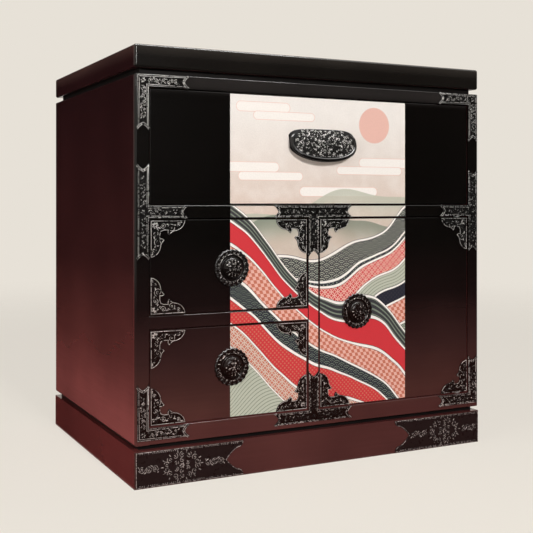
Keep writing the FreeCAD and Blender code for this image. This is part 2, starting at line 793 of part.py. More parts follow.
def make_body():
    """The box, its necks and top board, with everything that stays fixed in it."""
    nail_holes = make_fittings()
    flap_pins, door_pins = pivot_pins()
    seats = pin_seats(flap_pins + door_pins)
    shelf, shelf_pins = shelf_and_pins()
    bores = nail_holes + seats + shelf_pins

    top_length = board + top_neck_height + neck_screw_bite
    base_length = bottom_board + base_neck_height + neck_screw_bite
    top_screws, top_holes = neck_screws(top_neck_inset, ceiling_z, UP, top_length)
    base_screws, base_holes = neck_screws(base_neck_inset, floor_z, DOWN, base_length)
    screw_holes = top_holes + base_holes

    tops = housed_board(inner_left, inner_right, ceiling_z, body_top, inner_back_y)
    bottoms = housed_board(inner_left, inner_right, body_bottom, floor_z, inner_back_y)
    mid = housed_board(inner_left, inner_right, mid_bottom, mid_top, inner_back_y)
    rail = housed_board(inner_left, divider_left, rail_bottom, rail_top, face_y + rail_depth)
    upright = block(divider_left, divider_right, face_y, inner_back_y, floor_z, mid_bottom)
    upright = soften(upright, frame_round, edge_at_y(face_y))
    upright_tongue = block(
        divider_left,
        divider_right,
        face_y + housing_stop,
        inner_back_y,
        floor_z - housing_depth,
        mid_bottom + housing_depth,
    )
    upright = upright.fuse(upright_tongue).removeSplitter()
    mid, mid_print = part_print(mid, face_y)
    rail, rail_print = part_print(rail, face_y)
    upright, upright_print = part_print(upright, face_y)

    sides = []
    for x0, outer in ((left_x, left_x), (inner_right, right_x)):
        side = block(x0, x0 + side_board, face_y, back_y, body_bottom, body_top)
        sides.append(soften(side, outer_round, edge_at_x(outer)))
    back = block(
        inner_left - back_rebate, inner_right + back_rebate, inner_back_y, back_y, body_bottom, body_top
    )
    let_in = [tops, bottoms, mid, rail, back]
    save("side_left", cut_all(sides[0], let_in + bores))
    save("side_right", cut_all(sides[1], let_in + bores))
    save("carcass_top", cut_all(tops, bores + screw_holes))
    save("carcass_bottom", cut_all(bottoms, [upright] + bores + screw_holes))
    save("mid_board", cut_all(mid, [upright] + bores))
    save("divider", cut_all(upright, [rail] + bores))
    save("drawer_rail", rail)
    save("back_board", back)
    save("frame_print", *[cut_all(sheet, bores) for sheet in (mid_print, rail_print, upright_print)])

    runner_y0 = face_y + rail_depth
    save(
        "drawer_runners",
        block(inner_left, inner_left + runner_width, runner_y0, inner_back_y, rail_bottom, rail_top),
        block(divider_left - runner_width, divider_left, runner_y0, inner_back_y, rail_bottom, rail_top),
    )
    stop_y = front_back_y + catch_gap
    save(
        "drawer_stops",
        *[
            block(x - stop_width / 2, x + stop_width / 2, stop_y, stop_y + stop_depth, z, z + stop_height)
            for x in (drawer_mid - stop_offset, drawer_mid + stop_offset)
            for z in (floor_z, rail_top)
        ],
    )

    top_z = height - top_slab
    slab = block(left_x, right_x, face_y, back_y, top_z, height)
    slab = slab.makeFillet(outer_round, slab.Edges)
    save("top_board", cut_all(slab, top_holes))
    top_neck = neck_frame(top_neck_inset, body_top, top_neck_height)
    base_neck = neck_frame(base_neck_inset, plinth_height, base_neck_height)
    save("top_neck_battens", *[cut_all(one, top_holes) for one in top_neck])
    save("base_neck_battens", *[cut_all(one, base_holes) for one in base_neck])
    save("neck_screws", *(top_screws + base_screws))
    save("pivot_pins", *(flap_pins + door_pins))
    save("door_shelf", shelf)
    save("shelf_pins", *shelf_pins)
    save("magnet_catches", *catches())
    make_plinth(nail_holes, base_holes)


def make_plinth(nail_holes, base_holes):
    """The mitred plinth and the blocks glued into its corners."""
    turn_axis = FreeCAD.Vector(0, 0, 0)
    quarter = 90
    for node, length, turns, place in (
        ("plinth_front", width, 0, FreeCAD.Vector(0, face_y, 0)),
        ("plinth_right", depth, 1, FreeCAD.Vector(right_x, back_y - depth / 2, 0)),
        ("plinth_back", width, 2, FreeCAD.Vector(0, back_y, 0)),
        ("plinth_left", depth, 3, FreeCAD.Vector(left_x, back_y - depth / 2, 0)),
    ):
        one = mitred_board(length, plinth_board, plinth_height, 0)
        one.rotate(turn_axis, UP, turns * quarter)
        one.translate(place)
        save(node, cut_all(one, nail_holes + base_holes))
    near = plinth_board
    far = plinth_board + corner_block
    blocks = [
        block(x0, x1, y0, y1, corner_block_lift, plinth_height)
        for x0, x1 in ((left_x + near, left_x + far), (right_x - far, right_x - near))
        for y0, y1 in ((face_y + near, face_y + far), (back_y - far, back_y - near))
    ]
    save("plinth_corner_blocks", *[cut_all(one, base_holes) for one in blocks])


make_body()
make_flap()
make_drawer("upper_drawer", rail_top, mid_bottom, upper_knob_rise)
make_drawer("lower_drawer", floor_z, rail_bottom, lower_knob_rise)
make_door()
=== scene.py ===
import math

import bmesh
import bpy
from bpy.props import FloatProperty, FloatVectorProperty, IntProperty, PointerProperty
from mathutils import Matrix, Vector
from mathutils.bvhtree import BVHTree


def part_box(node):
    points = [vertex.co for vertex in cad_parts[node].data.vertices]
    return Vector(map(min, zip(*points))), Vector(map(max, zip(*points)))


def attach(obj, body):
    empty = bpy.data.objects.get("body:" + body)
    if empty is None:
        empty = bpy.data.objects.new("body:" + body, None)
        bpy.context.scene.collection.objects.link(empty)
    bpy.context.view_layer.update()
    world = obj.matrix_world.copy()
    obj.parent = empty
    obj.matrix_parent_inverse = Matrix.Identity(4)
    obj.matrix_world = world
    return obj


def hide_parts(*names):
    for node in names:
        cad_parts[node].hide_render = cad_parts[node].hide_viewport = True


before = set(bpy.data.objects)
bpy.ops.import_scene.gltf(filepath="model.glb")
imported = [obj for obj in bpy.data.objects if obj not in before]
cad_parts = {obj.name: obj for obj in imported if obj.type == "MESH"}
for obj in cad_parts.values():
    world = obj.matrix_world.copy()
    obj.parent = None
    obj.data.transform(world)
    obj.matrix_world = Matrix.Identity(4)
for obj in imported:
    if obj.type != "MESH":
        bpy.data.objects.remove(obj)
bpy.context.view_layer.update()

bl_info = {
    "name": "Lacquered side cabinet",
    "version": (1, 0, 0),
    "blender": (4, 5, 0),
    "location": "3D View > Sidebar > Cabinet",
    "description": "Finishes, iron relief and studio for a lacquered side cabinet",
    "category": "Object",
}

MM = 0.001
TURN = 2 * math.pi
UPRIGHT = math.pi / 2
AHEAD = Vector((0, -1, 0))
BACK = Vector((0, 1, 0))
BLACK = (0.0, 0.0, 0.0, 1)
WHITE = (1, 1, 1, 1)

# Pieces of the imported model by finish
LACQUERED = (
    "top_board", "carcass_top", "carcass_bottom", "side_left", "side_right", "mid_board", "divider",
    "drawer_rail", "plinth_front", "plinth_back", "plinth_left", "plinth_right", "flap_panel",
    "upper_drawer_front", "lower_drawer_front", "door_panel",
)
NECKS = ("top_neck_battens", "base_neck_battens")
WIDE_WOOD = (
    "back_board", "drawer_stops", "plinth_corner_blocks", "door_shelf", "upper_drawer_back",
    "lower_drawer_back",
)
DEEP_WOOD = (
    "drawer_runners", "upper_drawer_sides", "upper_drawer_bottom", "lower_drawer_sides",
    "lower_drawer_bottom",
)
PRINTS = ("frame_print", "flap_print", "upper_drawer_print", "lower_drawer_print", "door_print")
CLOUD_PLATES = (
    ("upper_drawer_corner_plates", "upper_drawer"),
    ("lower_drawer_corner_plates", "lower_drawer"),
    ("door_corner_plates", "door"),
)
KNOBS = (("upper_drawer_knob", "upper_drawer"), ("lower_drawer_knob", "lower_drawer"), ("door_knob", "door"))
BRACKETS = (
    "corner_brackets_top", "corner_brackets_bottom", "side_brackets", "centre_bracket_top",
    "centre_bracket_bottom",
)
IRON = BRACKETS + ("frame_nails", "upper_drawer_fixings", "lower_drawer_fixings", "door_fixings") + tuple(
    node for node, body in CLOUD_PLATES + KNOBS
)
STEEL = (
    "neck_screws", "pivot_pins", "shelf_pins", "flap_pull_screws", "flap_strike", "door_strike",
    "flap_friction_cartridges",
)
BRASS = ("door_pivot_bushes",)
CATCHES = ("magnet_catches",)

# Colours painted on the lacquer by level, as a share of the height: on the front, black lacquer under
# painted reflection of a warm red room low down, painted grey reflection under and on the top board, and a
# painted highlight along its upper edge
FRONT_LEVELS = (
    (0.0, "foot"), (0.115, "foot"), (0.165, "maroon_reflection"), (0.278, "warm"), (0.405, "ember_reflection"), (0.55, "black"),
    (0.89, "black"), (0.915, "brow"), (0.94, "brow"), (0.947, "head"), (0.972, "head"), (0.994, "crest_highlight"),
)
# On the sides, painted light and reflection that make them redder and lighter low down, with a painted
# highlight on the ends of the top board
SIDE_LEVELS = (
    (0.0, "side_plinth"), (0.09, "side_plinth"), (0.1, "side_foot"), (0.15, "side_foot"),
    (0.28, "side_warm"), (0.5, "side_middle"), (0.9, "side_head"), (0.968, "side_head"), (0.995, "side_top_highlight"),
)

# Black irons: name, ground, ground with wear, ground low down with painted reflection of a warm room,
# roughness, depth of the punching and shine
IRONS = (
    ("black iron", "dark", "wear_and_light", "ember_reflection", "gloss", 0.25, 0.05),
    ("brown iron", "strap", "strap_worn", "strap", "gloss", 0.25, 0.1),
    ("matt iron", "recess", "recess", "recess", "matt_gloss", 0.2, 0.06),
    ("smooth iron", "dark", "dark", "ember_reflection", "smooth_gloss", 0.02, 0.9),
    ("rim iron", "recess", "recess", "recess", "smooth_gloss", 0.02, 0.45),
    ("satin iron", "recess", "recess", "ember_reflection", "smooth_gloss", 0.05, 0.25),
)
# How much of each relief is rubbed bright, in points that are partly real wear and partly painted glints,
# how fine these points are and how bright
RELIEF_FINISHES = (
    ("corner relief", -0.03, 300.0, 0.8), ("corner rims", 0.08, 300.0, 0.7),
    ("tee relief", -0.10, 300.0, 0.8), ("tee rims", 0.02, 300.0, 0.65),
    ("cloud relief", 0.0, 300.0, 0.8), ("cloud rims", 0.1, 300.0, 0.75),
    ("pull relief", -0.045, 240.0, 1.0), ("knob relief", -0.03, 420.0, 0.8),
    ("strap relief", 0.06, 330.0, 0.65),
)
# Other grounds: two colours, and the roughness of a metal
STEEL_LOOK = ((0.56, 0.56, 0.57, 1), (0.40, 0.40, 0.42, 1), 0.38)
BRASS_LOOK = ((0.66, 0.46, 0.16, 1), (0.48, 0.32, 0.11, 1), 0.3)
CATCH_LOOK = ((0.030, 0.028, 0.026, 1), (0.052, 0.048, 0.045, 1))
FLAG_LOOK = ((0.002, 0.002, 0.002, 1), (0.006, 0.005, 0.005, 1))
RECESS_CLOUDED = (0.0066, 0.0054, 0.0050, 1)

# Noises: scale, detail and stretch
LACQUER_GRAIN = (9.0, 5.0, (1.2, 1.2, 26.0))
LACQUER_CLOUD = (5.0, 3.0)
LACQUER_DUST = (420.0, 2.0)
RECESS_CLOUD = (30.0, 3.0)
WOOD_DRIFT = (5.0, 2.0)
WOOD_FIBRE = (160.0, 4.0)
IRON_RUB = (130.0, 3.0)
IRON_FINE = (900.0, 2.0)
RELIEF_FINE = (1200.0, 2.0)
METAL_SCRATCH = (240.0, 3.0, (1.0, 6.0, 1.0))
METAL_PATCH = (60.0, 2.0)
CATCH_GRAIN = (700.0, 2.0)
PRINT_WARP = (7.0, 2.0)
PRINT_MOTTLE = (34.0, 4.0)
PRINT_FIBRE = (600.0, 2.0)
FLOOR_MOTTLE = (3.0, 2.0)
FLAG_CLOTH = (8.0, 2.0)
PUNCH_SCALE = 900.0
POINT_DETAIL = 1.5

# Bumps: strength and depth
LACQUER_BUMP = (0.05, 0.4 * MM)
WOOD_BUMP = (0.15, 0.3 * MM)
RELIEF_BUMP = (0.1, 0.15 * MM)
METAL_BUMP = (0.08, 0.1 * MM)
CATCH_BUMP = (0.1, 0.2 * MM)
PRINT_BUMP = (0.04, 0.1 * MM)
PUNCH_DEPTH = 0.35 * MM
FINE_DEPTH = 0.2 * MM
FINE_SHARE = 0.4

# Changes over a noise, level or depth: start and end, then first and last value if not nought and one
EVEN_CHANGE = (0.3, 0.7)
FRONT_CHANGE = (1.4 * MM, 2.4 * MM, 1.0, 0.0)
LIFT_CHANGE = (0.3 * MM, 0.7 * MM)
LACQUER_SHADE = (0.22, 0.5, 0.0, 0.3)
WOOD_CHANGE = (0.2, 0.85)
WARM_CHANGE = (0.16, 0.36, 0.85, 0.0)
IRON_CHANGE = (0.45, 0.75)
RUBBED_CHANGE = (0.5, 0.62)
METAL_CHANGE = (0.35, 0.7)

# How much each noise counts in the shade of the lacquer
GRAIN_SHADE = 0.12
CLOUD_SHADE = 0.6

# Roughness: how much a noise changes it, after its base where a look doesn't give that
GRAIN_ROUGH = 0.06
DUST_ROUGH = 0.03
METAL_ROUGH = 0.2
RECESS_ROUGH = (0.45, 0.2)
WOOD_ROUGH = (0.5, 0.2)
CATCH_ROUGH = (0.55, 0.15)
PRINT_ROUGH = (0.28, 0.12)

# Shine of each ground
LACQUER_SHINE = 0.32
RECESS_SHINE = 0.1
WOOD_SHINE = 0.25
RELIEF_SHINE = 0.1
PRINT_SHINE = 0.25

# Rings of the wood: radians in a metre, tilt, sway, share in the colour, stretch of drift and fibre
WOOD_RINGS = 330
WOOD_TILT = 0.8
WOOD_SWAY = 40
WOOD_LATE = 0.16
DRIFT_STRETCH = 0.3
FIBRE_STRETCH = 0.05

# Printed sheet, in millimetres: ground and disc
PAPER_CHANGE = (330.0, 540.0)
MOTTLE_CHANGE = (0.4, 0.75)
MOTTLE_SHARE = 0.35
FIBRE_SHARE = 0.07
SOFT_EDGE = (-0.6, 0.6)
SUN_MIDDLE = (92, 503)
SUN_RADIUS = 27
SUN_SHARE = 0.9
# Bands of mist: middle across, level, half length and radius
MIST = (
    (-96, 523, 36, 7), (-62, 511, 44, 6), (112, 446, 40, 7), (84, 434, 52, 6), (-118, 437, 40, 7),
    (-84, 424, 46, 6), (30, 402, 60, 7),
)
MIST_LINE = 0.5
MIST_LINE_SHARE = 0.55
# Far ridges: level, swing, wave, turn, colour and depth of the fade
RIDGES = ((384, 20, 61, 0.4, "pale_sage", 52), (366, 15, 39, 2.1, "sage", 46))
RIPPLE_WAVE = 0.37
RIPPLE_SWING = 0.3
RIDGE_FADE = (0.85, 0.12)

# Patterns of the cloths: steps in millimetres, lines and dots as shares of a step, and counts for fans
FAN_STEP = 17.0
CHECK_STEP = 5.0
CHECK_SLANT = 0.3
RING_STEP = 11.0
DOT_STEP = 6.5
SCALE_STEP = 8.0
WATER_STEP = 5.5
STRIPE_STEP = 7.0
RING_LINE = 0.06
DOT_RADIUS = 0.2
WATER_LINE = 0.2
STRIPE_LINE = 0.35
FAN_ROWS = 4
FAN_RINGS = 6
FAN_LINE = 0.32

# Flows: slope, then wave, turn and swing of a sway, then across, up and swing of a ripple, and drift
LEFT_FLOW = (-0.34, 46, 0.4, 15, 21, 37, 6, 30)
RIGHT_FLOW = (0.62, 38, 2.2, 17, 25, 33, 8, 34)
# Bands along a flow: upper level, cloth, ground and figure
LEFT_BANDS = (
    (318, "fans", "charcoal", "pale_sage"), (284, "dots", "navy", "sage"), (276, "rings", "red", "rose"),
    (246, "water", "pale_sage", "sage"), (214, "dots", "navy", "charcoal"), (186, "checks", "coral", "rose"),
    (146, "fans", "sage", "pale_sage"), (112, "scales", "navy", "sage"),
)
RIGHT_BANDS = (
    (272, "stripes", "charcoal", "sage"), (246, "stripes", "red", "red"), (214, "checks", "coral", "rose"),
    (176, "fans", "navy", "sage"), (152, "dots", "red", "coral"), (114, "rings", "coral", "sand"),
    (74, "water", "pale_sage", "sage"),
)
# Where a band's dark line, white edging, second dark line and cloth begin, in millimetres
EDGING = (0, 0.7, 4.2, 4.8)

# Fineness of the shapes
MERGE = 1e-6
SEAM = 4 * MERGE
TUBE_SIDES = 6
RING_STEPS = 64
LOBE_STEPS = 9
SCROLL_STEPS = 20
WAVE_STEPS = 8
HOOP_STEPS = 12
RIM_STEPS = 64
DROP_FACES = (8, 5)
PETAL_FACES = (14, 10)

# How the outlines of plates are found and followed
HOLE = 20 * MM
FACING = 0.9
CLOSEST = 0.25 * MM
MITRE = 0.4
SHARPEST = 0.45
STAND_OFF = 20 * MM

# Scrolls, flowers and vines, as shares of their stem, radius, step and reach
SCROLL_EYE = 0.16
SCROLL_TAPER = 0.3
SCROLL_PEARL = 1.7
PETAL_MIDDLE = 0.62
PETAL_WIDE = 0.26
PETAL_LONG = 0.38
VINE_SWING = 0.6
CURL_ALONG = 0.54
CURL_ACROSS = -0.14
CURL_STEP = 0.4
CURL_REACH = 0.8
CURL_TURNS = 1.5
# Leaves on a vine: place along and across, angle, half length and half width
VINE_LEAVES = ((1.0, -0.62, -0.9, 1.5 * MM, 0.7 * MM), (0.12, 0.72, 0.7, 1.4 * MM, 0.65 * MM))

# Brackets: leaves before a notched end, and the flower where strips meet
TAIL_GAP = 5.5 * MM
TAIL_ANGLES = (-0.6, 0, 0.6)
TAIL_REACH = 2.0 * MM
TAIL_LEAF = (2.2 * MM, 0.9 * MM)
HUB_FLOWER = 0.55
HUB_PETALS = 6

# Cloud plates, as shares of a leg: place along and out, then radius, start and turns or an angle
CLOUD_RIM = 0.85
CLOUD_FLOWER_AT = 0.13
CLOUD_FLOWER = 0.095
CLOUD_PETALS = 7
CLOUD_CURLS = (
    (0.36, 0.135, 0.085, 3.1, -1.5), (0.60, 0.21, 0.118, 3.6, 1.6), (0.80, 0.095, 0.062, 2.4, -1.4),
)
CLOUD_LEAVES = ((0.245, 0.20, 0.5), (0.47, 0.10, 0.2), (0.70, 0.13, -0.4), (0.9, 0.05, -0.1))

# Plinth straps: vines with length, reach and pitch, and pearls along the edges
STRAP_VINE_AT = 34 * MM
STRAP_VINE = (29 * MM, 6.5 * MM, 9.7 * MM)
PEARL_INSET = 6 * MM
PEARL_STEP = 3 * MM
PEARL_MARGIN = 2.5 * MM
PEARL_RADIUS = 0.6 * MM
# Wreaths on the straps: count, half width and half height of each ring, and radius of its scrolls
WREATH_FLOWER = (4 * MM, 6)
WREATH_RINGS = ((6, 9 * MM, 7.5 * MM, 3.4 * MM), (14, 23 * MM, 15 * MM, 4.3 * MM))
WREATH_TURNS = 1.4
WREATH_TIPS = (14, 29 * MM, 19.5 * MM)
WREATH_LEAF = (2.2 * MM, 0.7 * MM)

# Profile of a knob: steps out from the plate's edge or the boss, and heights, shares on the dome
KNOB_LIP = 1.3 * MM
KNOB_EDGE = ((0, 1.3 * MM), (-0.8 * MM, 2.1 * MM))
KNOB_FOOT = ((4.2 * MM, 2.8 * MM),)
KNOB_GROOVE = ((3.4 * MM, 1.4 * MM), (0.5 * MM, 1.4 * MM), (0, 2.4 * MM))
KNOB_DOME = ((0, 0.42), (-0.8 * MM, 0.62), (-2.4 * MM, 0.77), (-5.4 * MM, 0.9), (-9.4 * MM, 0.97))
# Raised rings of a knob: step out from the plate's edge or the boss, and half width
LIP_RING = (-0.2 * MM, 1.2 * MM)
CROWN_RING = (-1.0 * MM, 0.4 * MM)
FOOT_RING = (4.6 * MM, 0.45 * MM)
# Petals and flower of a knob
PETAL_LIFT = 1.5 * MM
PETAL_TALL = 1.7 * MM
HOOP_FOOT = 5.4 * MM
HOOP_TIP = 2.9 * MM
HOOP_SHARE = 0.86
HOOP_TALL = 1.4
VEIN = (1.5 * MM, 0.6 * MM)
VEIN_TALL = 1.6
CROWN_OUTER = (14, 1.7 * MM, 0.6 * MM)
CROWN_INNER = (6, 1.3 * MM, 0.6 * MM)
CROWN_INNER_REACH = 3.4 * MM
CROWN_SCROLLS = 8
CROWN_SCROLL_REACH = 6.6 * MM
CROWN_SCROLL = 2.0 * MM
CROWN_TURNS = 1.3
CROWN_STEM = 0.9
CROWN_PEARL = 1.5 * MM

# Pull: how far the rim runs up past the ends and how it tapers
RIM_OVER = 0.2
RIM_TIP = 0.03
RIM_SLOPE = 9
RIM_TOP = 0.6
# Scrolls and leaves on the pull: shares of a scroll, start and turns in radians and turns, and leaf
FILL_NEAR = 0.7
FILL_RADIUS = 0.88
FILL_START = 2.1
FILL_TURNS = 1.6
FILL_LEAF_AT = 0.8
FILL_ROW = 1.9
FILL_LEAF = (2.0 * MM, 0.9 * MM)

# Floor
FLOOR_HALF = 6
FLOOR_FADE = (1.2, 3.4)
FLOOR_MOTTLED = 0.04
# Lamps: place, target, width and height, colour and the rays that don't see them
MIDDLE = (0, 0, 0.3)
LAMPS = (
    ("key", (-0.25, -2.8, 1.2), MIDDLE, (0.3, 0.3), (1.0, 0.985, 0.965), ()),
    ("fill", (-2.6, -0.9, 1.0), MIDDLE, (1.6, 1.6), (1.0, 0.98, 0.965), ("glossy",)),
    ("sheen", (0.9, -0.9, 2.2), MIDDLE, (1.8, 1.2), (1.0, 0.99, 0.98), ("diffuse",)),
    ("glint", (-0.35, -0.5, 2.2), (-0.35, 0, 0.3), (2.4, 0.3), (1.0, 0.99, 0.98), ("diffuse",)),
)
# Dark cards: place, tilt, turn, width and height
FLAGS = (
    ("front flag", (1.2, -2.2, 0.8), UPRIGHT, 0, 3.0, 1.6),
    ("side flag", (-1.0, 2.0, 0.8), UPRIGHT, 0, 1.6, 1.6),
    ("right flag", (2.4, 0, 0.8), UPRIGHT, UPRIGHT, 2.4, 1.6),
    ("floor flag", (0, 0, 2 * MM), 0, 0, 6.0, 6.0),
)


def number(name, description, default, **more):
    """A number that a user may change."""
    return FloatProperty(name=name, description=description, default=default, **more)


def size(name, description, millimetres):
    """A length that a user may change."""
    return number(name, description, millimetres * MM, unit="LENGTH", precision=5, min=0)


def share(name, description, default):
    """A share from none to all that a user may change."""
    return number(name, description, default, subtype="FACTOR", min=0, max=1)


def tint(name, description, default):
    """A colour that a user may change."""
    return FloatVectorProperty(
        name=name, description=description, default=default + (1,), size=4, min=0, max=1, subtype="COLOR"
    )


class LacquerLook(bpy.types.PropertyGroup):
    """Colours of the lacquer: black above, with painted reflection of a warm room that reddens it below,
    painted grey reflection and a painted highlight on the top board, and painted light on the sides
    """

    # Painted highlight along the upper edge of the top board, and painted grey reflection on its front and
    # on the rail under it
    crest_highlight: tint("Crest", "Lacquer along the upper edge of the top board", (0.0248, 0.0211, 0.0183))
    head: tint("Head", "Lacquer on the front of the top board", (0.0077, 0.0064, 0.0055))
    brow: tint("Brow", "Lacquer under the top board", (0.0199, 0.0173, 0.0166))
    black: tint("Black", "Lacquer over the upper half of the front", (0.0038, 0.0030, 0.0026))
    # Painted reflection of a warm red room, stronger towards the foot of the front
    ember_reflection: tint("Ember", "Lacquer at the drawer rail", (0.0095, 0.0047, 0.0045))
    warm: tint("Warm", "Lacquer over the lower drawer and door", (0.0421, 0.0164, 0.0154))
    maroon_reflection: tint("Maroon", "Lacquer near the foot of the front", (0.0874, 0.0313, 0.0264))
    foot: tint("Foot", "Lacquer along the plinth", (0.0861, 0.0275, 0.0250))
    # Painted light and reflection on the sides and the ends of the plinth, lighter and redder low down, and
    # a painted highlight on the ends of the top board
    side_top_highlight: tint("Side top", "Lacquer on the ends of the top board", (0.100, 0.0500, 0.0440))
    side_head: tint("Side head", "Lacquer at the top of the sides", (0.0350, 0.0106, 0.0117))
    side_middle: tint("Side middle", "Lacquer half way down the sides", (0.065, 0.0176, 0.0177))
    side_warm: tint("Side warm", "Lacquer below the middle of the sides", (0.194, 0.0500, 0.0460))
    side_foot: tint("Side foot", "Lacquer at the foot of the sides", (0.380, 0.1000, 0.0940))
    side_plinth: tint("Side plinth", "Lacquer on the ends of the plinth", (0.188, 0.0386, 0.0364))
    # Kept black as painted shade in the necks
    recess: tint("Recess", "Lacquer in the necks", (0.0046, 0.0037, 0.0034))
    lift: number("Lift", "How much lighter the frame is than the fronts that it holds", 1.1)
    gloss: share("Roughness", "Roughness of the polished lacquer", 0.16)


class IronLook(bpy.types.PropertyGroup):
    """Colours of the black iron"""

    recess: tint("Recess", "Iron of the knobs and of the ground of the pull", (0.0040, 0.0035, 0.0033))
    dark: tint("Dark", "Iron in the hollows", (0.0045, 0.0040, 0.0038))
    wear_and_light: tint("Worn", "Iron of the grounds where it is worn", (0.0095, 0.0086, 0.0082))
    strap: tint("Strap", "Iron of the plinth straps", (0.0175, 0.0088, 0.0083))
    strap_worn: tint("Strap worn", "Iron of the plinth straps where it is worn", (0.0260, 0.0142, 0.0134))
    # Colour of the bright points on the relief, partly real rubbed wear and partly painted glints
    rubbed_and_lit: tint("Rubbed", "Iron of the relief where it is rubbed bright", (0.62, 0.60, 0.58))
    # Painted reflection of a warm room on the iron low on the front, on its ground and on its rubbed relief
    ember_reflection: tint("Ember", "Iron low on the front, which mirrors a warm room", (0.0110, 0.0036, 0.0029))
    blush_reflection: tint("Blush", "Rubbed iron low on the front", (0.64, 0.53, 0.50))
    gloss: share("Roughness", "Roughness of the half-gloss black", 0.3)
    smooth_gloss: share("Smooth roughness", "Roughness of the smooth black knobs and rim", 0.16)
    matt_gloss: share("Matt roughness", "Roughness of the matt ground of the pull", 0.55)
    rubbed_gloss: share("Rubbed roughness", "Roughness of the rubbed relief", 0.28)
    rubbed_metal: share("Rubbed metal", "How metallic the rubbed relief is", 0.4)
    # Painted light: more bright points on the relief for each metre up, to the left and away from the middle
    higher: number("Higher", "How much more is rubbed for each metre up", 0.13)
    leftward: number("Leftward", "How much more is rubbed for each metre to the left", 0.12)
    outward: number("Outward", "How much more is rubbed for each metre from the middle", 0.05)


class PrintLook(bpy.types.PropertyGroup):
    """Colours of the printed sheet"""

    paper: tint("Paper", "Upper ground", (0.825, 0.78, 0.745))
    sand: tint("Sand", "Lower ground", (0.67, 0.525, 0.447))
    white: tint("White", "Edgings and mist", (0.90, 0.85, 0.81))
    red: tint("Red", "Strongest colour", (0.62, 0.036, 0.046))
    coral: tint("Coral", "Softer red", (0.57, 0.165, 0.105))
    rose: tint("Rose", "Palest red", (0.79, 0.45, 0.38))
    sage: tint("Sage", "Grey green", (0.205, 0.24, 0.185))
    pale_sage: tint("Pale sage", "Pale grey green", (0.50, 0.51, 0.42))
    navy: tint("Navy", "Blue black", (0.020, 0.020, 0.034))
    charcoal: tint("Charcoal", "Soft black", (0.042, 0.040, 0.046))


class WoodLook(bpy.types.PropertyGroup):
    """Colours of the bare wood inside"""

    light: tint("Light", "Early wood", (0.60, 0.45, 0.29))
    dark: tint("Dark", "Late wood", (0.43, 0.29, 0.17))


class ReliefSizes(bpy.types.PropertyGroup):
    """Sizes of the embossed relief on the iron"""

    rim_margin: size("Rim margin", "From a plate's edge to its rim line", 0.75)
    rim: size("Rim", "Half width of a rim line", 0.42)
    inner_margin: size("Inner margin", "From a strip's edge to its inner line", 3.0)
    inner_rim: size("Inner line", "Half width of the inner line", 0.42)
    strip: size("Strip", "Width of the iron strips", 16.5)
    corner_arm: size("Corner arm", "Length of a corner bracket's arm", 76.5)
    tee_arm: size("Tee arm", "Length of a side bracket's arm", 74)
    tee_reach: size("Tee reach", "Half length of a tee's bar", 66)
    tail: size("Tail", "Bare length at a strip's notched end", 17)
    hub: size("Hub", "Half length of the flower where strips meet", 7)
    pitch: size("Scroll pitch", "From scroll to scroll along a strip", 7.2)
    stem: size("Stem", "Half width of a scroll's stem", 0.38)
    cloud_leg: size("Cloud leg", "Length of a cloud plate's leg", 50)
    strap_length: size("Strap length", "Length of a plinth strap", 159.5)
    strap_bay: size("Strap bay", "Depth of the bay in a strap's end", 26)
    strap_half: size("Strap half", "Half height of a plinth strap", 24)


class KnobSizes(bpy.types.PropertyGroup):
    """Sizes of the rosette knobs"""

    radius: size("Radius", "To the tips of the petals", 26.9)
    petals: IntProperty(name="Petals", description="Petals round the knob", default=22, min=6, max=32)
    petal_long: size("Petal length", "Half length of a petal", 4.6)
    petal_wide: size("Petal width", "Half width of a petal", 3.4)
    petal_dip: size("Petal dip", "How far the lip dips between petals", 1.5)
    boss: size("Boss", "Radius of the boss", 14.8)
    flower: size("Flower", "To the middle of the petals on the boss", 10.7)
    flower_rise: size("Flower rise", "Height of the flower on the boss", 1.2)


class PullSizes(bpy.types.PropertyGroup):
    """Sizes of the cup pull's relief"""

    width: size("Width", "Width of the pull", 112)
    above: size("Above", "Height of the pull above its widest level", 23)
    below: size("Below", "Height of the pull below its widest level", 26)
    top_square: number("Top square", "Squareness of the upper corners", 3.8)
    low_square: number("Low square", "Squareness of the lower outline", 2.1)
    rim_margin: size("Rim margin", "From the outline to the middle of the rolled rim", 3.4)
    rim: size("Rim", "Half width of the rolled rim", 3.2)
    line_margin: size("Line margin", "From the outline to the line inside the rim", 8.0)
    line: size("Line", "Half width of the line inside the rim", 0.45)
    top_margin: size("Top margin", "From the top edge to the first scrolls", 0.5)
    scroll: size("Scroll", "Radius of a scroll", 3.5)


class StageSizes(bpy.types.PropertyGroup):
    """Camera, lamps and floor"""

    camera: FloatVectorProperty(
        name="Camera", description="Place of the camera: across, from the front of the sides, and up",
        default=(-0.7004, -1.2156, 0.3858), subtype="TRANSLATION",
    )
    heading: number(
        "Heading", "Turn of the camera about the upright", math.radians(-26.595), subtype="ANGLE"
    )
    lens: number("Lens", "Focal length on a 36 mm sensor", 64.0, unit="CAMERA")
    rise: number("Shift", "Lens shift that keeps uprights parallel", -0.1198)
    backdrop: tint("Backdrop", "Colour of the background", (0.799, 0.753, 0.68))
    floor: tint("Floor", "Colour of the floor", (0.92, 0.87, 0.79))
    neutral: tint("Neutral", "Colour of the light from all round", (0.80, 0.785, 0.77))
    key: number("Key lamp", "Power of the main lamp", 52, unit="POWER")
    fill: number("Fill lamp", "Power of the fill lamp", 26, unit="POWER")
    sheen: number("Sheen lamp", "Power of the lamp for highlights", 18, unit="POWER")
    glint: number("Glint lamp", "Power of the lamp for highlights on the left", 105, unit="POWER")
    air: share("Air", "Light from all round", 0.2)
    calm: share("Calm", "How far the floor keeps to the colour of the background", 0.7)
    glow: number("Glow", "Strength of the background's colour on the floor, to make up for the rest", 1.16)


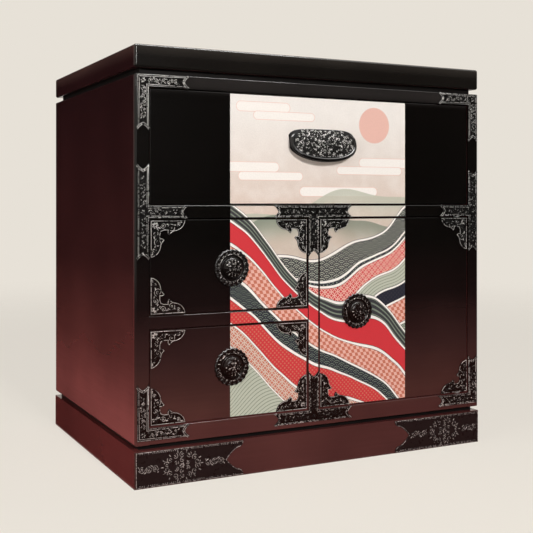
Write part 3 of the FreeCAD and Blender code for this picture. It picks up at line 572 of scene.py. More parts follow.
class CabinetSettings(bpy.types.PropertyGroup):
    """All that a user may change on the cabinet"""

    lacquer: PointerProperty(type=LacquerLook)
    iron: PointerProperty(type=IronLook)
    sheet: PointerProperty(type=PrintLook)
    wood: PointerProperty(type=WoodLook)
    relief: PointerProperty(type=ReliefSizes)
    knob: PointerProperty(type=KnobSizes)
    pull: PointerProperty(type=PullSizes)
    stage: PointerProperty(type=StageSizes)


def sums(operation, turned=False):
    """A method that adds a Math node. Turned, it takes its values the other way round."""

    def add(self, *others):
        values = others + (self,) if turned else (self,) + others
        return self.node("Math", dict(enumerate(values)), operation=operation)

    return add


class Wire:
    """A value on its way through a shader. Sums on it add Math nodes."""

    def __init__(self, tree, socket=None):
        self.tree = tree
        self.socket = socket

    def node(self, kind, sockets, output=0, stops=None, **settings):
        """Add a node: first its settings, then the values or links of its sockets."""
        made = self.tree.nodes.new("ShaderNode" + kind)
        for name, value in settings.items():
            setattr(made, name, value)
        if stops:
            ramp = made.color_ramp.elements
            while len(ramp) < len(stops):
                ramp.new(1)
            for element, (position, colour) in zip(ramp, stops):
                element.position = position
                element.color = colour
        for name, value in sockets.items():
            if isinstance(value, Wire):
                self.tree.links.new(value.socket, made.inputs[name])
            else:
                made.inputs[name].default_value = value
        if not made.outputs:
            return None
        if isinstance(output, tuple):
            return [Wire(self.tree, made.outputs[name]) for name in output]
        return Wire(self.tree, made.outputs[output])

    __add__ = sums("ADD")
    __radd__ = sums("ADD", True)
    __sub__ = sums("SUBTRACT")
    __rsub__ = sums("SUBTRACT", True)
    __mul__ = sums("MULTIPLY")
    __rmul__ = sums("MULTIPLY", True)
    __truediv__ = sums("DIVIDE")
    __rtruediv__ = sums("DIVIDE", True)
    __lt__ = sums("LESS_THAN")
    __gt__ = sums("GREATER_THAN")
    __abs__ = sums("ABSOLUTE")
    high = sums("MAXIMUM")
    sine = sums("SINE")
    part = sums("FRACT")
    whole = sums("FLOOR")
    root = sums("SQRT")

    def between(self, start, end, first=0.0, last=1.0):
        """A smooth change from first to last as the value goes from start to end."""
        sockets = {0: self, 1: start, 2: end, 3: first, 4: last}
        return self.node("MapRange", sockets, interpolation_type="SMOOTHSTEP")

    def mix(self, first, second):
        """One colour where the value is nought and another where it is one."""
        return self.node("Mix", {0: self, 6: first, 7: second}, output=2, data_type="RGBA")


def new_finish(name):
    """A material with its tree emptied, and the place on the piece as a wire and as three wires."""
    material = bpy.data.materials.new(name)
    material.use_nodes = True
    tree = material.node_tree
    tree.nodes.clear()
    start = Wire(tree)
    place = start.node("TexCoord", {}, output="Object")
    return material, place, start.node("SeparateXYZ", {0: place}, output=("X", "Y", "Z"))


def surface(start, **sockets):
    """Close a material with one shader whose sockets are named with underscores."""
    named = {name.replace("_", " "): value for name, value in sockets.items()}
    shader = start.node("BsdfPrincipled", named)
    start.node("OutputMaterial", {"Surface": shader})


def noise(place, scale, detail, stretch=(1, 1, 1)):
    """Soft noise, drawn out along some ways."""
    drawn = place.node("Mapping", {"Vector": place, "Scale": stretch})
    return place.node("TexNoise", {"Vector": drawn, "Scale": scale, "Detail": detail}, output="Fac")


def centred(wire, amount):
    """A change to either side of nought, from a noise."""
    return (wire - 0.5) * amount


def raised(height, strength, distance, normal=None):
    """A bump from a height."""
    sockets = {"Height": height, "Strength": strength, "Distance": distance}
    if normal:
        sockets["Normal"] = normal
    return height.node("Bump", sockets)


def by_level(rise, look, levels):
    """Colours that change with the level."""
    return rise.node("ValToRGB", {0: rise}, stops=[(level, getattr(look, name)) for level, name in levels])


def lacquer_finish(look):
    """Polished lacquer: black, with painted reflection of a warm room that reddens it below, painted light
    that makes the sides redder, and faint grain and dust.
    """
    material, place, (x, y, z) = new_finish("lacquer")
    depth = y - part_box("side_left")[0][1]
    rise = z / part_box("top_board")[1][2]
    # Colours by level: painted reflection, painted highlight and painted light over black lacquer
    front = by_level(rise, look, FRONT_LEVELS)
    side = by_level(rise, look, SIDE_LEVELS)
    ground = depth.between(*FRONT_CHANGE).mix(side, front)
    lift = depth.between(*LIFT_CHANGE, look.lift, 1.0)
    lifted = ground.node("VectorMath", {0: ground, "Scale": lift}, operation="SCALE")
    grain = noise(place, *LACQUER_GRAIN)
    cloud = noise(place, *LACQUER_CLOUD)
    dust = noise(place, *LACQUER_DUST)
    shade = (grain * GRAIN_SHADE + cloud * CLOUD_SHADE).between(*LACQUER_SHADE)
    surface(
        place, Base_Color=shade.mix(lifted, BLACK), Specular_IOR_Level=LACQUER_SHINE,
        Roughness=look.gloss + centred(grain, GRAIN_ROUGH) + centred(dust, DUST_ROUGH),
        Normal=raised(grain, *LACQUER_BUMP),
    )
    return material


def recess_finish(look):
    """The lacquer in the necks, kept black as painted shade in the recesses, without the painted reflection
    and light of the other lacquer.
    """
    material, place, axes = new_finish("recess lacquer")
    cloud = noise(place, *RECESS_CLOUD)
    base = cloud.between(*EVEN_CHANGE).mix(look.recess, RECESS_CLOUDED)
    rough, swing = RECESS_ROUGH
    surface(place, Base_Color=base, Roughness=rough + cloud * swing, Specular_IOR_Level=RECESS_SHINE)
    return material


def wood_finish(name, look, lengthways):
    """Bare pale wood with pores. Its grain runs along the width, axis nought, or the depth, axis one."""
    material, place, axes = new_finish(name)
    across = axes[1 - lengthways]
    up = axes[2]
    slow = [1.0, 1.0, 1.0]
    slow[lengthways] = DRIFT_STRETCH
    drawn = [1.0, 1.0, 1.0]
    drawn[lengthways] = FIBRE_STRETCH
    drift = noise(place, *WOOD_DRIFT, slow)
    fibre = noise(place, *WOOD_FIBRE, drawn)
    rings = ((across + up * WOOD_TILT) * WOOD_RINGS + drift * WOOD_SWAY).sine()
    base = (rings * WOOD_LATE + fibre).between(*WOOD_CHANGE).mix(look.light, look.dark)
    rough, swing = WOOD_ROUGH
    surface(
        place, Base_Color=base, Roughness=rough + fibre * swing, Specular_IOR_Level=WOOD_SHINE,
        Normal=raised(fibre, *WOOD_BUMP),
    )
    return material


def warm_reflection_share(z):
    """How much painted reflection of a warm room the iron gets, by its level: more low down."""
    return z.between(*WARM_CHANGE)


def iron_finish(name, dark, wear_and_light, ember_reflection, gloss, punched, shine):
    """Black iron with a little wear, painted reflection of a warm room low down, and a ground that is
    punched more or less deep.
    """
    material, place, axes = new_finish(name)
    dents = place.node("TexVoronoi", {"Vector": place, "Scale": PUNCH_SCALE}, output="Distance")
    rub = noise(place, *IRON_RUB)
    fine = noise(place, *IRON_FINE)
    base = warm_reflection_share(axes[2]).mix(rub.between(*IRON_CHANGE).mix(dark, wear_and_light), ember_reflection)
    bump = raised(fine, FINE_SHARE * punched, FINE_DEPTH, raised(dents, punched, PUNCH_DEPTH))
    rough = gloss + centred(rub, METAL_ROUGH)
    surface(place, Base_Color=base, Roughness=rough, Specular_IOR_Level=shine, Normal=bump)
    return material


def rubbed_finish(name, look, bare, grain, bright):
    """Embossed iron, black with bright points that are partly real rubbed wear and partly painted glints,
    more of them high up, to the left and at the ends as painted light, and painted reflection of a warm room
    low down.
    """
    material, place, (x, y, z) = new_finish(name)
    points = noise(place, grain, POINT_DETAIL)
    fine = noise(place, *RELIEF_FINE)
    # Painted light: more bright points high up, to the left and away from the middle
    wear_and_light = z * look.higher - x * look.leftward + abs(x) * look.outward
    rubbed_and_lit = (points + wear_and_light + bare).between(*RUBBED_CHANGE) * bright
    # Painted reflection of a warm room low down
    warm = warm_reflection_share(z)
    base = rubbed_and_lit.mix(warm.mix(look.dark, look.ember_reflection), warm.mix(look.rubbed_and_lit, look.blush_reflection))
    surface(
        place, Base_Color=base, Metallic=rubbed_and_lit * look.rubbed_metal, Specular_IOR_Level=RELIEF_SHINE,
        Roughness=look.rubbed_gloss + centred(fine, METAL_ROUGH), Normal=raised(fine, *RELIEF_BUMP),
    )
    return material


def metal_finish(name, bright, dull, rough):
    """Drawn or turned metal with fine scratches."""
    material, place, axes = new_finish(name)
    scratch = noise(place, *METAL_SCRATCH)
    base = noise(place, *METAL_PATCH).between(*METAL_CHANGE).mix(bright, dull)
    surface(
        place, Base_Color=base, Metallic=1.0, Roughness=rough + centred(scratch, METAL_ROUGH),
        Normal=raised(scratch, *METAL_BUMP),
    )
    return material


def catch_finish():
    """Matt black moulding with a fine grain."""
    material, place, axes = new_finish("catch")
    grain = noise(place, *CATCH_GRAIN)
    base = grain.between(*EVEN_CHANGE).mix(*CATCH_LOOK)
    rough, swing = CATCH_ROUGH
    surface(place, Base_Color=base, Roughness=rough + grain * swing, Normal=raised(grain, *CATCH_BUMP))
    return material


def spread(x, y):
    """The distance from nought."""
    return (x * x + y * y).root()


def two_grids(x, y, step):
    """The distances from the middles of cells, in one grid and in another half a step on."""
    grids = []
    for shift in (0, step / 2):
        grids.append(spread(((x + shift) / step).part() - 0.5, ((y + shift) / step).part() - 0.5))
    return grids


def check_cloth(x, y, step):
    """A chequer."""
    return abs(((x / step).whole() + (y / step).whole()) * 0.5).part() * 2


def ring_cloth(x, y, step):
    """Rings that lap over each other."""
    one, two = [abs(reach - 0.5) < RING_LINE for reach in two_grids(x, y, step)]
    return one.high(two)


def dot_cloth(x, y, step):
    """Dots set in turn."""
    one, two = [reach < DOT_RADIUS for reach in two_grids(x, y, step)]
    return one.high(two)


def scale_cloth(x, y, step):
    """Triangles like scales."""
    return ((x / step).part() + (y / step).part()) > 1


def fan_cloth(x, y, step):
    """Fans of rings like waves, each row in front of the row above."""
    row = (y * FAN_ROWS / step).whole()
    rings = []
    for drop in (1, 0, -1):
        near_row = row - drop
        shift = (abs(near_row) * 0.5).part() * step
        across = ((x + shift) / step).part() - 0.5
        rings.append(spread(across, y / step - near_row / FAN_ROWS))
    front = rings[0] < 0.5
    middle = rings[1] < 0.5
    back = middle * rings[1] + (1 - middle) * rings[2]
    reach = front * rings[0] + (1 - front) * back
    return (reach * FAN_RINGS).part() < FAN_LINE


def mist_bands(x, z, colour, look):
    """Long rounded bands of mist that lie level over the upper ground."""
    for middle_x, middle_z, half, radius in MIST:
        beyond = (abs(x - middle_x) - half).high(0.0)
        edge = spread(beyond, z - middle_z) - radius
        colour = edge.between(*SOFT_EDGE[::-1]).mix(colour, look.white)
        colour = ((abs(edge) < MIST_LINE) * MIST_LINE_SHARE).mix(colour, look.rose)
    return colour


def far_hills(x, z, colour, look):
    """Two far ridges that fade into mist at their feet."""
    for level, swing, wave, turn, paint, fade in RIDGES:
        ripple = (x / (wave * RIPPLE_WAVE) + turn).sine() * (swing * RIPPLE_SWING)
        depth = (x / wave + turn).sine() * swing + ripple + level - z
        inside = depth.between(*SOFT_EDGE) * depth.between(0.0, fade, *RIDGE_FADE)
        colour = inside.mix(colour, getattr(look, paint))
    return colour


def flow(x, z, warp, slope, wave, turn, swing, across, up, ripple, drift):
    """Levels on the sheet that slope, sway in two waves and drift with a slow warp."""
    sway = (x / wave + turn).sine() * swing
    return z + x * slope + sway + (x / across + z / up).sine() * ripple + centred(warp, drift)


def flowing_bands(colour, levels, bands, cloths, look):
    """Bands of patterned cloth that flow across, each with a white edging between dark lines."""
    for level, cloth, ground, figure in bands:
        depth = level - levels
        fill = cloths[cloth].mix(getattr(look, ground), getattr(look, figure))
        for start, paint in zip(EDGING, (look.charcoal, look.white, look.charcoal, fill)):
            colour = (depth > start).mix(colour, paint)
    return colour


def print_finish(look):
    """A printed sheet: mist and far hills over flowing bands of traditional patterns."""
    material, place, axes = new_finish("printed sheet")
    x = axes[0] / MM
    z = axes[2] / MM
    colour = z.between(*PAPER_CHANGE).mix(look.sand, look.paper)
    mottle = noise(place, *PRINT_MOTTLE).between(*MOTTLE_CHANGE)
    colour = (mottle * MOTTLE_SHARE).mix(colour, look.white)
    sun = SUN_RADIUS - spread(x - SUN_MIDDLE[0], z - SUN_MIDDLE[1])
    colour = (sun.between(*SOFT_EDGE) * SUN_SHARE).mix(colour, look.rose)
    colour = mist_bands(x, z, colour, look)
    colour = far_hills(x, z, colour, look)
    warp = noise(place, *PRINT_WARP)
    left = flow(x, z, warp, *LEFT_FLOW)
    right = flow(x, z, warp, *RIGHT_FLOW)
    cloths = {
        "fans": fan_cloth(x, z, FAN_STEP),
        "checks": check_cloth(x + z * CHECK_SLANT, z, CHECK_STEP),
        "rings": ring_cloth(x, z, RING_STEP),
        "dots": dot_cloth(x, z, DOT_STEP),
        "scales": scale_cloth(x, z, SCALE_STEP),
        "water": (left / WATER_STEP).part() < WATER_LINE,
        "stripes": (right / STRIPE_STEP).part() < STRIPE_LINE,
    }
    colour = flowing_bands(colour, left, LEFT_BANDS, cloths, look)
    colour = flowing_bands(colour, right, RIGHT_BANDS, cloths, look)
    fibre = noise(place, *PRINT_FIBRE)
    base = (fibre.between(*EVEN_CHANGE) * FIBRE_SHARE).mix(colour, look.charcoal)
    rough, swing = PRINT_ROUGH
    surface(
        place, Base_Color=base, Roughness=rough + fibre * swing, Specular_IOR_Level=PRINT_SHINE,
        Normal=raised(fibre, *PRINT_BUMP),
    )
    return material


def paint(nodes, material):
    """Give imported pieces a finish."""
    for node in nodes:
        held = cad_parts[node].data.materials
        held.clear()
        held.append(material)


def finish_named(name):
    """A finish that an earlier operator made."""
    found = bpy.data.materials.get(name)
    if found is None:
        raise RuntimeError("make the finishes first: " + name)
    return found


def polar(reach, angle):
    """How far across and up a place lies, from its distance and angle."""
    return reach * math.cos(angle), reach * math.sin(angle)


def around(count, wide, tall, start=0.0):
    """Places in a ring: the number of each, its angle, and how far across and up it lies."""
    for step in range(count):
        turn = (step + start) * TURN / count
        yield step, turn, wide * math.cos(turn), tall * math.sin(turn)


def both_ways(low, high, axis):
    """The two ends of a box along an axis, each with the way inwards."""
    return (low[axis], 1), (high[axis], -1)


class Seat:
    """A flat place on a plate's front: u runs across and v upwards, each either way, from one point."""

    def __init__(self, x, y, z, across=1, up=1):
        self.x = x
        self.y = y
        self.z = z
        self.across = across
        self.up = up

    def at(self, u, v):
        """The point at u, v and the way out of the plate."""
        return Vector((self.x + self.across * u, self.y, self.z + self.up * v)), AHEAD


class Shell:
    """The front of a curved fitting, found by looking along its depth, from its middle and a level."""

    def __init__(self, node, level):
        low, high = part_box(node)
        self.x = (low[0] + high[0]) / 2
        self.z = level
        self.start_y = low[1] - STAND_OFF
        bm = bmesh.new()
        bm.from_mesh(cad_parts[node].data)
        self.tree = BVHTree.FromBMesh(bm)
        bm.free()

    def at(self, u, v):
        """The point at u, v and the way out of the surface."""
        start = Vector((self.x + u, self.start_y, self.z + v))
        point, normal, index, distance = self.tree.ray_cast(start, BACK)
        if point is None:
            raise RuntimeError("no surface at %.4f, %.4f" % (u, v))
        return point, normal if normal.y < 0 else -normal


class Dome:
    """The front of a turned fitting, from its rim inwards: u runs across and v upwards from its middle."""

    def __init__(self, centre, profile):
        self.centre = centre
        self.profile = profile

    def at(self, u, v):
        """The point at u, v and the way out of the surface."""
        reach = math.hypot(u, v)
        outward = Vector((u, 0, v)).normalized()
        for (outer, low), (inner, high) in zip(self.profile, self.profile[1:]):
            if inner <= reach <= outer:
                slope = (high - low) / (outer - inner)
                point = self.centre + Vector((u, 0, v)) + AHEAD * (low + slope * (outer - reach))
                return point, (AHEAD + outward * slope).normalized()
        raise RuntimeError("no surface at %.4f, %.4f" % (u, v))

    def circle(self, bm, reach, half, lobes=0, dip=0.0):
        """A raised ring round the middle. With lobes it dips inwards between them."""
        stations = []
        steps = RING_STEPS * max(1, round(lobes * LOBE_STEPS / RING_STEPS))
        for step in range(steps):
            turn = TURN * step / steps
            near = reach - dip * (1 - abs(math.sin(lobes * turn / 2)))
            stations.append((*self.at(*polar(near, turn)), half, half))
        bead_line(bm, stations, closed=True)


def placed(point, side, out, along):
    """A matrix from three ways, each as long as its half size, and a point."""
    return Matrix.Translation(point) @ Matrix((side, out, along)).transposed().to_4x4()


def ring_edges(verts):
    """The edges that join these vertices to each other."""
    near = dict.fromkeys(edge for vert in verts for edge in vert.link_edges)
    return [edge for edge in near if edge.verts[0] in verts and edge.verts[1] in verts]


def sweep_frames(stations, closed):
    """Where the section of a bead stands at each station, wider where the path turns a corner."""
    frames = []
    count = len(stations)
    for index, (point, out, wide, tall) in enumerate(stations):
        before = stations[index - 1][0] if closed or index else None
        after = stations[(index + 1) % count][0] if closed or index + 1 < count else None
        arriving = (point - before).normalized() if before else (after - point).normalized()
        leaving = (after - point).normalized() if after else arriving
        along = arriving + leaving
        along = along.normalized() if along.length > SHARPEST else arriving
        wider = 1 / max(along.dot(arriving), SHARPEST)
        side = along.cross(out).normalized()
        frames.append(placed(point, side * wide * wider, out * tall, along * wide))
    return frames


def pour(bm, small):
    """Pour a small mesh into a large one, because an operator slows as its mesh grows."""
    mesh = bpy.data.meshes.new("pour")
    small.to_mesh(mesh)
    small.free()
    bm.from_mesh(mesh)
    bpy.data.meshes.remove(mesh)


def bead_line(bm, stations, closed=False):
    """Sweep a round bead through stations: point, way out, half width and half height."""
    frames = sweep_frames(stations, closed)
    small = bmesh.new()
    made = bmesh.ops.create_circle(
        small, cap_ends=not closed, segments=TUBE_SIDES, radius=1, matrix=frames[0]
    )
    first = made["verts"]
    verts = first
    for before, after in zip(frames, frames[1:] + frames[:1] * closed):
        grown = bmesh.ops.extrude_edge_only(small, edges=ring_edges(verts))["geom"]
        verts = [element for element in grown if isinstance(element, bmesh.types.BMVert)]
        bmesh.ops.transform(small, matrix=after @ before.inverted(), verts=verts)
    if closed:
        bmesh.ops.remove_doubles(small, verts=first + verts, dist=SEAM)
    else:
        bmesh.ops.contextual_create(small, geom=ring_edges(verts))
    pour(bm, small)


def drop(bm, point, out, along, wide, tall, long, faces=DROP_FACES):
    """A rounded drop that lies half in the surface: a leaf, petal or pearl."""
    side = along.cross(out).normalized()
    matrix = placed(point, side * wide, out * tall, along.normalized() * long)
    small = bmesh.new()
    bmesh.ops.create_uvsphere(small, u_segments=faces[0], v_segments=faces[1], radius=1, matrix=matrix)
    pour(bm, small)


def leaf(bm, seat, u, v, angle, long, wide, tall):
    """A leaf whose middle is at u, v, pointing along an angle on the seat."""
    point, out = seat.at(u, v)
    across, up = polar(long / 2, angle)
    tip = seat.at(u + across, v + up)[0]
    drop(bm, point, out, tip - point, wide, tall, long)


def pearl(bm, seat, u, v, radius):
    """A small round pearl."""
    leaf(bm, seat, u, v, 0, radius, radius, radius)


def scroll(bm, seat, u, v, radius, start, turns, stem):
    """A stem that curls inwards to an eye. A negative count of turns curls the other way."""
    stations = []
    for step in range(SCROLL_STEPS + 1):
        done = step / SCROLL_STEPS
        across, up = polar(radius * (1 - (1 - SCROLL_EYE) * done), start + turns * TURN * done)
        thick = stem * (1 - SCROLL_TAPER * done)
        stations.append((*seat.at(u + across, v + up), thick, thick))
    bead_line(bm, stations)
    pearl(bm, seat, u, v, stem * SCROLL_PEARL)


def flower(bm, seat, u, v, radius, petals, tall):
    """Petals in a ring round a point."""
    middle = radius * PETAL_MIDDLE
    wide = min(radius * PETAL_WIDE, middle * math.pi / petals)
    for step, angle, across, up in around(petals, middle, middle):
        leaf(bm, seat, u + across, v + up, angle, radius * PETAL_LONG, wide, tall)


def vine(bm, seat, start, way, length, reach, pitch, stem):
    """A running vine of scrolls, to both sides of a line from start along way."""
    count = max(1, round(length / pitch))
    step = length / count
    heading = math.atan2(way[1], way[0])

    def spot(along, across):
        return start[0] + way[0] * along - way[1] * across, start[1] + way[1] * along + way[0] * across

    stations = []
    for index in range(count * WAVE_STEPS + 1):
        along = index * step / WAVE_STEPS
        across = reach * VINE_SWING * math.sin(math.pi * along / step)
        stations.append((*seat.at(*spot(along, across)), stem, stem))
    bead_line(bm, stations)
    radius = min(CURL_STEP * step, CURL_REACH * reach)
    for index in range(count):
        hand = -1 if index % 2 else 1
        u, v = spot((index + CURL_ALONG) * step, CURL_ACROSS * reach * hand)
        scroll(bm, seat, u, v, radius, heading + math.pi, CURL_TURNS * hand, stem)
        for along, across, angle, long, wide in VINE_LEAVES:
            u, v = spot((index + along) * step, across * reach * hand)
            leaf(bm, seat, u, v, heading + angle * hand, long, wide, stem)


def front_outlines(node):
    """The outlines of the plates in a node, seen from the front, without their nail holes."""
    bm = bmesh.new()
    bm.from_mesh(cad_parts[node].data)
    bmesh.ops.remove_doubles(bm, verts=bm.verts, dist=MERGE)
    away = [face for face in bm.faces if face.normal.y > -FACING]
    bmesh.ops.delete(bm, geom=away, context="FACES")
    left = dict.fromkeys(edge for edge in bm.edges if edge.is_boundary)
    outlines = []
    while left:
        edge = next(iter(left))
        del left[edge]
        first, vert = edge.verts
        points = [first.co.copy()]
        while vert is not first:
            points.append(vert.co.copy())
            edge = next(near for near in vert.link_edges if near in left)
            del left[edge]
            vert = edge.other_vert(vert)
        length = sum((two - one).length for one, two in zip(points, points[1:] + points[:1]))
        if length > HOLE:
            outlines.append(points)
    bm.free()
    return outlines


def thinned(points):
    """A path without points that all but touch the one before."""
    kept = [points[0]]
    for point in points[1:]:
        if (point - kept[-1]).length > CLOSEST:
            kept.append(point)
    if (kept[-1] - kept[0]).length < CLOSEST:
        kept.pop()
    return kept


def inside_path(points, margin):
    """A path that keeps inside an outline by a margin."""
    pairs = list(zip(points, points[1:] + points[:1]))
    turn = sum(one.x * two.z - two.x * one.z for one, two in pairs)
    hand = 1 if turn > 0 else -1
    moved = []
    for index, point in enumerate(points):
        arriving = (point - points[index - 1]).normalized()
        leaving = (points[(index + 1) % len(points)] - point).normalized()
        ways = [Vector((-way.z, 0, way.x)) * hand for way in (arriving, leaving)]
        middle = (ways[0] + ways[1]).normalized()
        moved.append(point + middle * margin / max(middle.dot(ways[0]), MITRE))
    return moved


def rims(bm, node, margin, half):
    """Raised lines that follow the outlines of a node's plates."""
    for outline in front_outlines(node):
        path = thinned(inside_path(thinned(outline), margin))
        bead_line(bm, [(point, AHEAD, half, half) for point in path], closed=True)


def linked(name, data):
    """An object in the scene."""
    made = bpy.data.objects.new(name, data)
    bpy.context.scene.collection.objects.link(made)
    return made


def mesh_object(name, bm, material):
    """An object from a mesh with one finish."""
    mesh = bpy.data.meshes.new(name)
    bm.to_mesh(mesh)
    bm.free()
    mesh.materials.append(material)
    return linked(name, mesh)


def hide_from(made, *rays):
    """Keep some kinds of rays from seeing an object."""
    for ray in rays:
        setattr(made, "visible_" + ray, False)


def piece(name, bm, body, finish, slot, *replaced):
    """Close a mesh and make it a piece that rides on a body."""
    bmesh.ops.recalc_face_normals(bm, faces=bm.faces)
    for face in bm.faces:
        face.smooth = True
    made = mesh_object(name, bm, finish_named(finish))
    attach(made, body)
    if replaced:
        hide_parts(*replaced)


def strip_arm(bm, seat, start, way, length, sizes):
    """The vine on one arm of a bracket and the leaves before its notched end."""
    field = sizes.strip / 2 - sizes.inner_margin - sizes.inner_rim
    vine(bm, seat, start, way, length - sizes.tail, field, sizes.pitch, sizes.stem)
    end = length - sizes.tail + TAIL_GAP
    heading = math.atan2(way[1], way[0])
    for side in TAIL_ANGLES:
        angle = heading + side
        across, up = polar(TAIL_REACH, angle)
        u = start[0] + way[0] * end + across
        v = start[1] + way[1] * end + up
        leaf(bm, seat, u, v, angle, *TAIL_LEAF, sizes.stem)


def turned(bm, centre, profile):
    """Turn a profile of radius and height about the way out of the front."""
    verts = [bm.verts.new(centre + Vector((radius, 0, 0)) + AHEAD * height) for radius, height in profile]
    edges = [bm.edges.new(pair) for pair in zip(verts, verts[1:])]
    bmesh.ops.spin(
        bm, geom=verts + edges, cent=centre, axis=AHEAD, angle=TURN, steps=RING_STEPS, use_merge=True
    )
    bmesh.ops.remove_doubles(bm, verts=bm.verts, dist=MERGE)


def lamp(name, power, place, target, extent, colour):
    """A soft square lamp that faces a target."""
    light = bpy.data.lights.new(name, "AREA")
    light.shape = "RECTANGLE"
    light.size, light.size_y = extent
    light.energy = power
    light.color = colour
    made = linked(name, light)
    made.location = place
    made.rotation_euler = (Vector(target) - Vector(place)).to_track_quat("-Z", "Y").to_euler()
    return made


class CABINET_OT_finishes(bpy.types.Operator):
    """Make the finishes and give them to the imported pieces"""

    bl_idname = "cabinet.finishes"
    bl_label = "Finishes"

    def execute(self, context):
        look = context.scene.cabinet
        for name, dark, wear_and_light, ember_reflection, gloss, punched, shine in IRONS:
            looks = [getattr(look.iron, key) for key in (dark, wear_and_light, ember_reflection, gloss)]
            iron_finish(name, *looks, punched, shine)
        for name, bare, grain, bright in RELIEF_FINISHES:
            rubbed_finish(name, look.iron, bare, grain, bright)
        paint(LACQUERED, lacquer_finish(look.lacquer))
        paint(NECKS, recess_finish(look.lacquer))
        paint(WIDE_WOOD, wood_finish("wide wood", look.wood, 0))
        paint(DEEP_WOOD, wood_finish("deep wood", look.wood, 1))
        paint(PRINTS, print_finish(look.sheet))
        paint(IRON, finish_named("black iron"))
        paint(("plinth_straps",), finish_named("brown iron"))
        paint(("flap_pull",), finish_named("matt iron"))
        paint(STEEL, metal_finish("zinc steel", *STEEL_LOOK))
        paint(BRASS, metal_finish("turned brass", *BRASS_LOOK))
        paint(CATCHES, catch_finish())
        return {"FINISHED"}


class CABINET_OT_brackets(bpy.types.Operator):
    """Emboss the angles and tees on the frame"""

    bl_idname = "cabinet.brackets"
    bl_label = "Bracket relief"

    def execute(self, context):
        sizes = context.scene.cabinet.relief
        for node in BRACKETS:
            kind = "corner" if node.startswith("corner") else "tee"
            bm = bmesh.new()
            rims(bm, node, sizes.rim_margin, sizes.rim)
            rims(bm, node, sizes.inner_margin, sizes.inner_rim)
            piece(node + "_rims", bm, "carcass", kind + " rims", "iron")
            bm = bmesh.new()
            arms = self.arms(node, sizes)
            for seat, u, v, way, length in arms:
                start = (u + way[0] * sizes.hub, v + way[1] * sizes.hub)
                strip_arm(bm, seat, start, way, length - sizes.hub, sizes)
            for seat, u, v in dict.fromkeys(arm[:3] for arm in arms):
                flower(bm, seat, u, v, sizes.hub * HUB_FLOWER, HUB_PETALS, sizes.stem)
            piece(node + "_relief", bm, "carcass", kind + " relief", "iron")
        return {"FINISHED"}

    def arms(self, node, sizes):
        """The arms of a node's brackets: seat, the place where they meet, way and length."""
        low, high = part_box(node)
        half = sizes.strip / 2
        middle_x = (low[0] + high[0]) / 2
        middle_z = (low[2] + high[2]) / 2
        foot, head = both_ways(low, high, 2)
        level, up = head if node.endswith("top") else foot
        arms = []
        if node.startswith("centre"):
            seat = Seat(middle_x, low[1], level + up * half, 1, up)
            return [(seat, 0, 0, way, sizes.tee_reach) for way in ((1, 0), (-1, 0), (0, 1))]
        for x, across in both_ways(low, high, 0):
            if node.startswith("corner"):
                seat = Seat(x, low[1], level, across, up)
                arms += [(seat, half, half, way, sizes.corner_arm - half) for way in ((1, 0), (0, 1))]
            else:
                seat = Seat(x, low[1], middle_z, across)
                arms += [(seat, half, 0, way, sizes.tee_reach) for way in ((0, 1), (0, -1))]
                arms.append((seat, half, 0, (1, 0), sizes.tee_arm - half))
        return arms


class CABINET_OT_clouds(bpy.types.Operator):
    """Emboss the cloud plates on the corners of the drawers and the door"""

    bl_idname = "cabinet.clouds"
    bl_label = "Cloud plate relief"

    def execute(self, context):
        sizes = context.scene.cabinet.relief
        for node, body in CLOUD_PLATES:
            low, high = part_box(node)
            bm = bmesh.new()
            rims(bm, node, sizes.rim_margin * CLOUD_RIM, sizes.rim)
            piece(node + "_rims", bm, body, "cloud rims", "iron")
            bm = bmesh.new()
            for x, across in both_ways(low, high, 0):
                for z, up in both_ways(low, high, 2):
                    self.corner(bm, Seat(x, low[1], z, across, up), sizes.cloud_leg, sizes.stem)
            piece(node + "_relief", bm, body, "cloud relief", "iron")
        return {"FINISHED"}

    def corner(self, bm, seat, leg, stem):
        """A flower in the corner, and scrolls and leaves along both legs, one the mirror of the other."""
        middle = CLOUD_FLOWER_AT * leg
        flower(bm, seat, middle, middle, CLOUD_FLOWER * leg, CLOUD_PETALS, stem)
        for along, out, radius, start, turns in CLOUD_CURLS:
            scroll(bm, seat, along * leg, out * leg, radius * leg, start, turns, stem)
            scroll(bm, seat, out * leg, along * leg, radius * leg, UPRIGHT - start, -turns, stem)
        for along, out, angle in CLOUD_LEAVES:
            leaf(bm, seat, along * leg, out * leg, angle, *TAIL_LEAF, stem)
            leaf(bm, seat, out * leg, along * leg, UPRIGHT - angle, *TAIL_LEAF, stem)


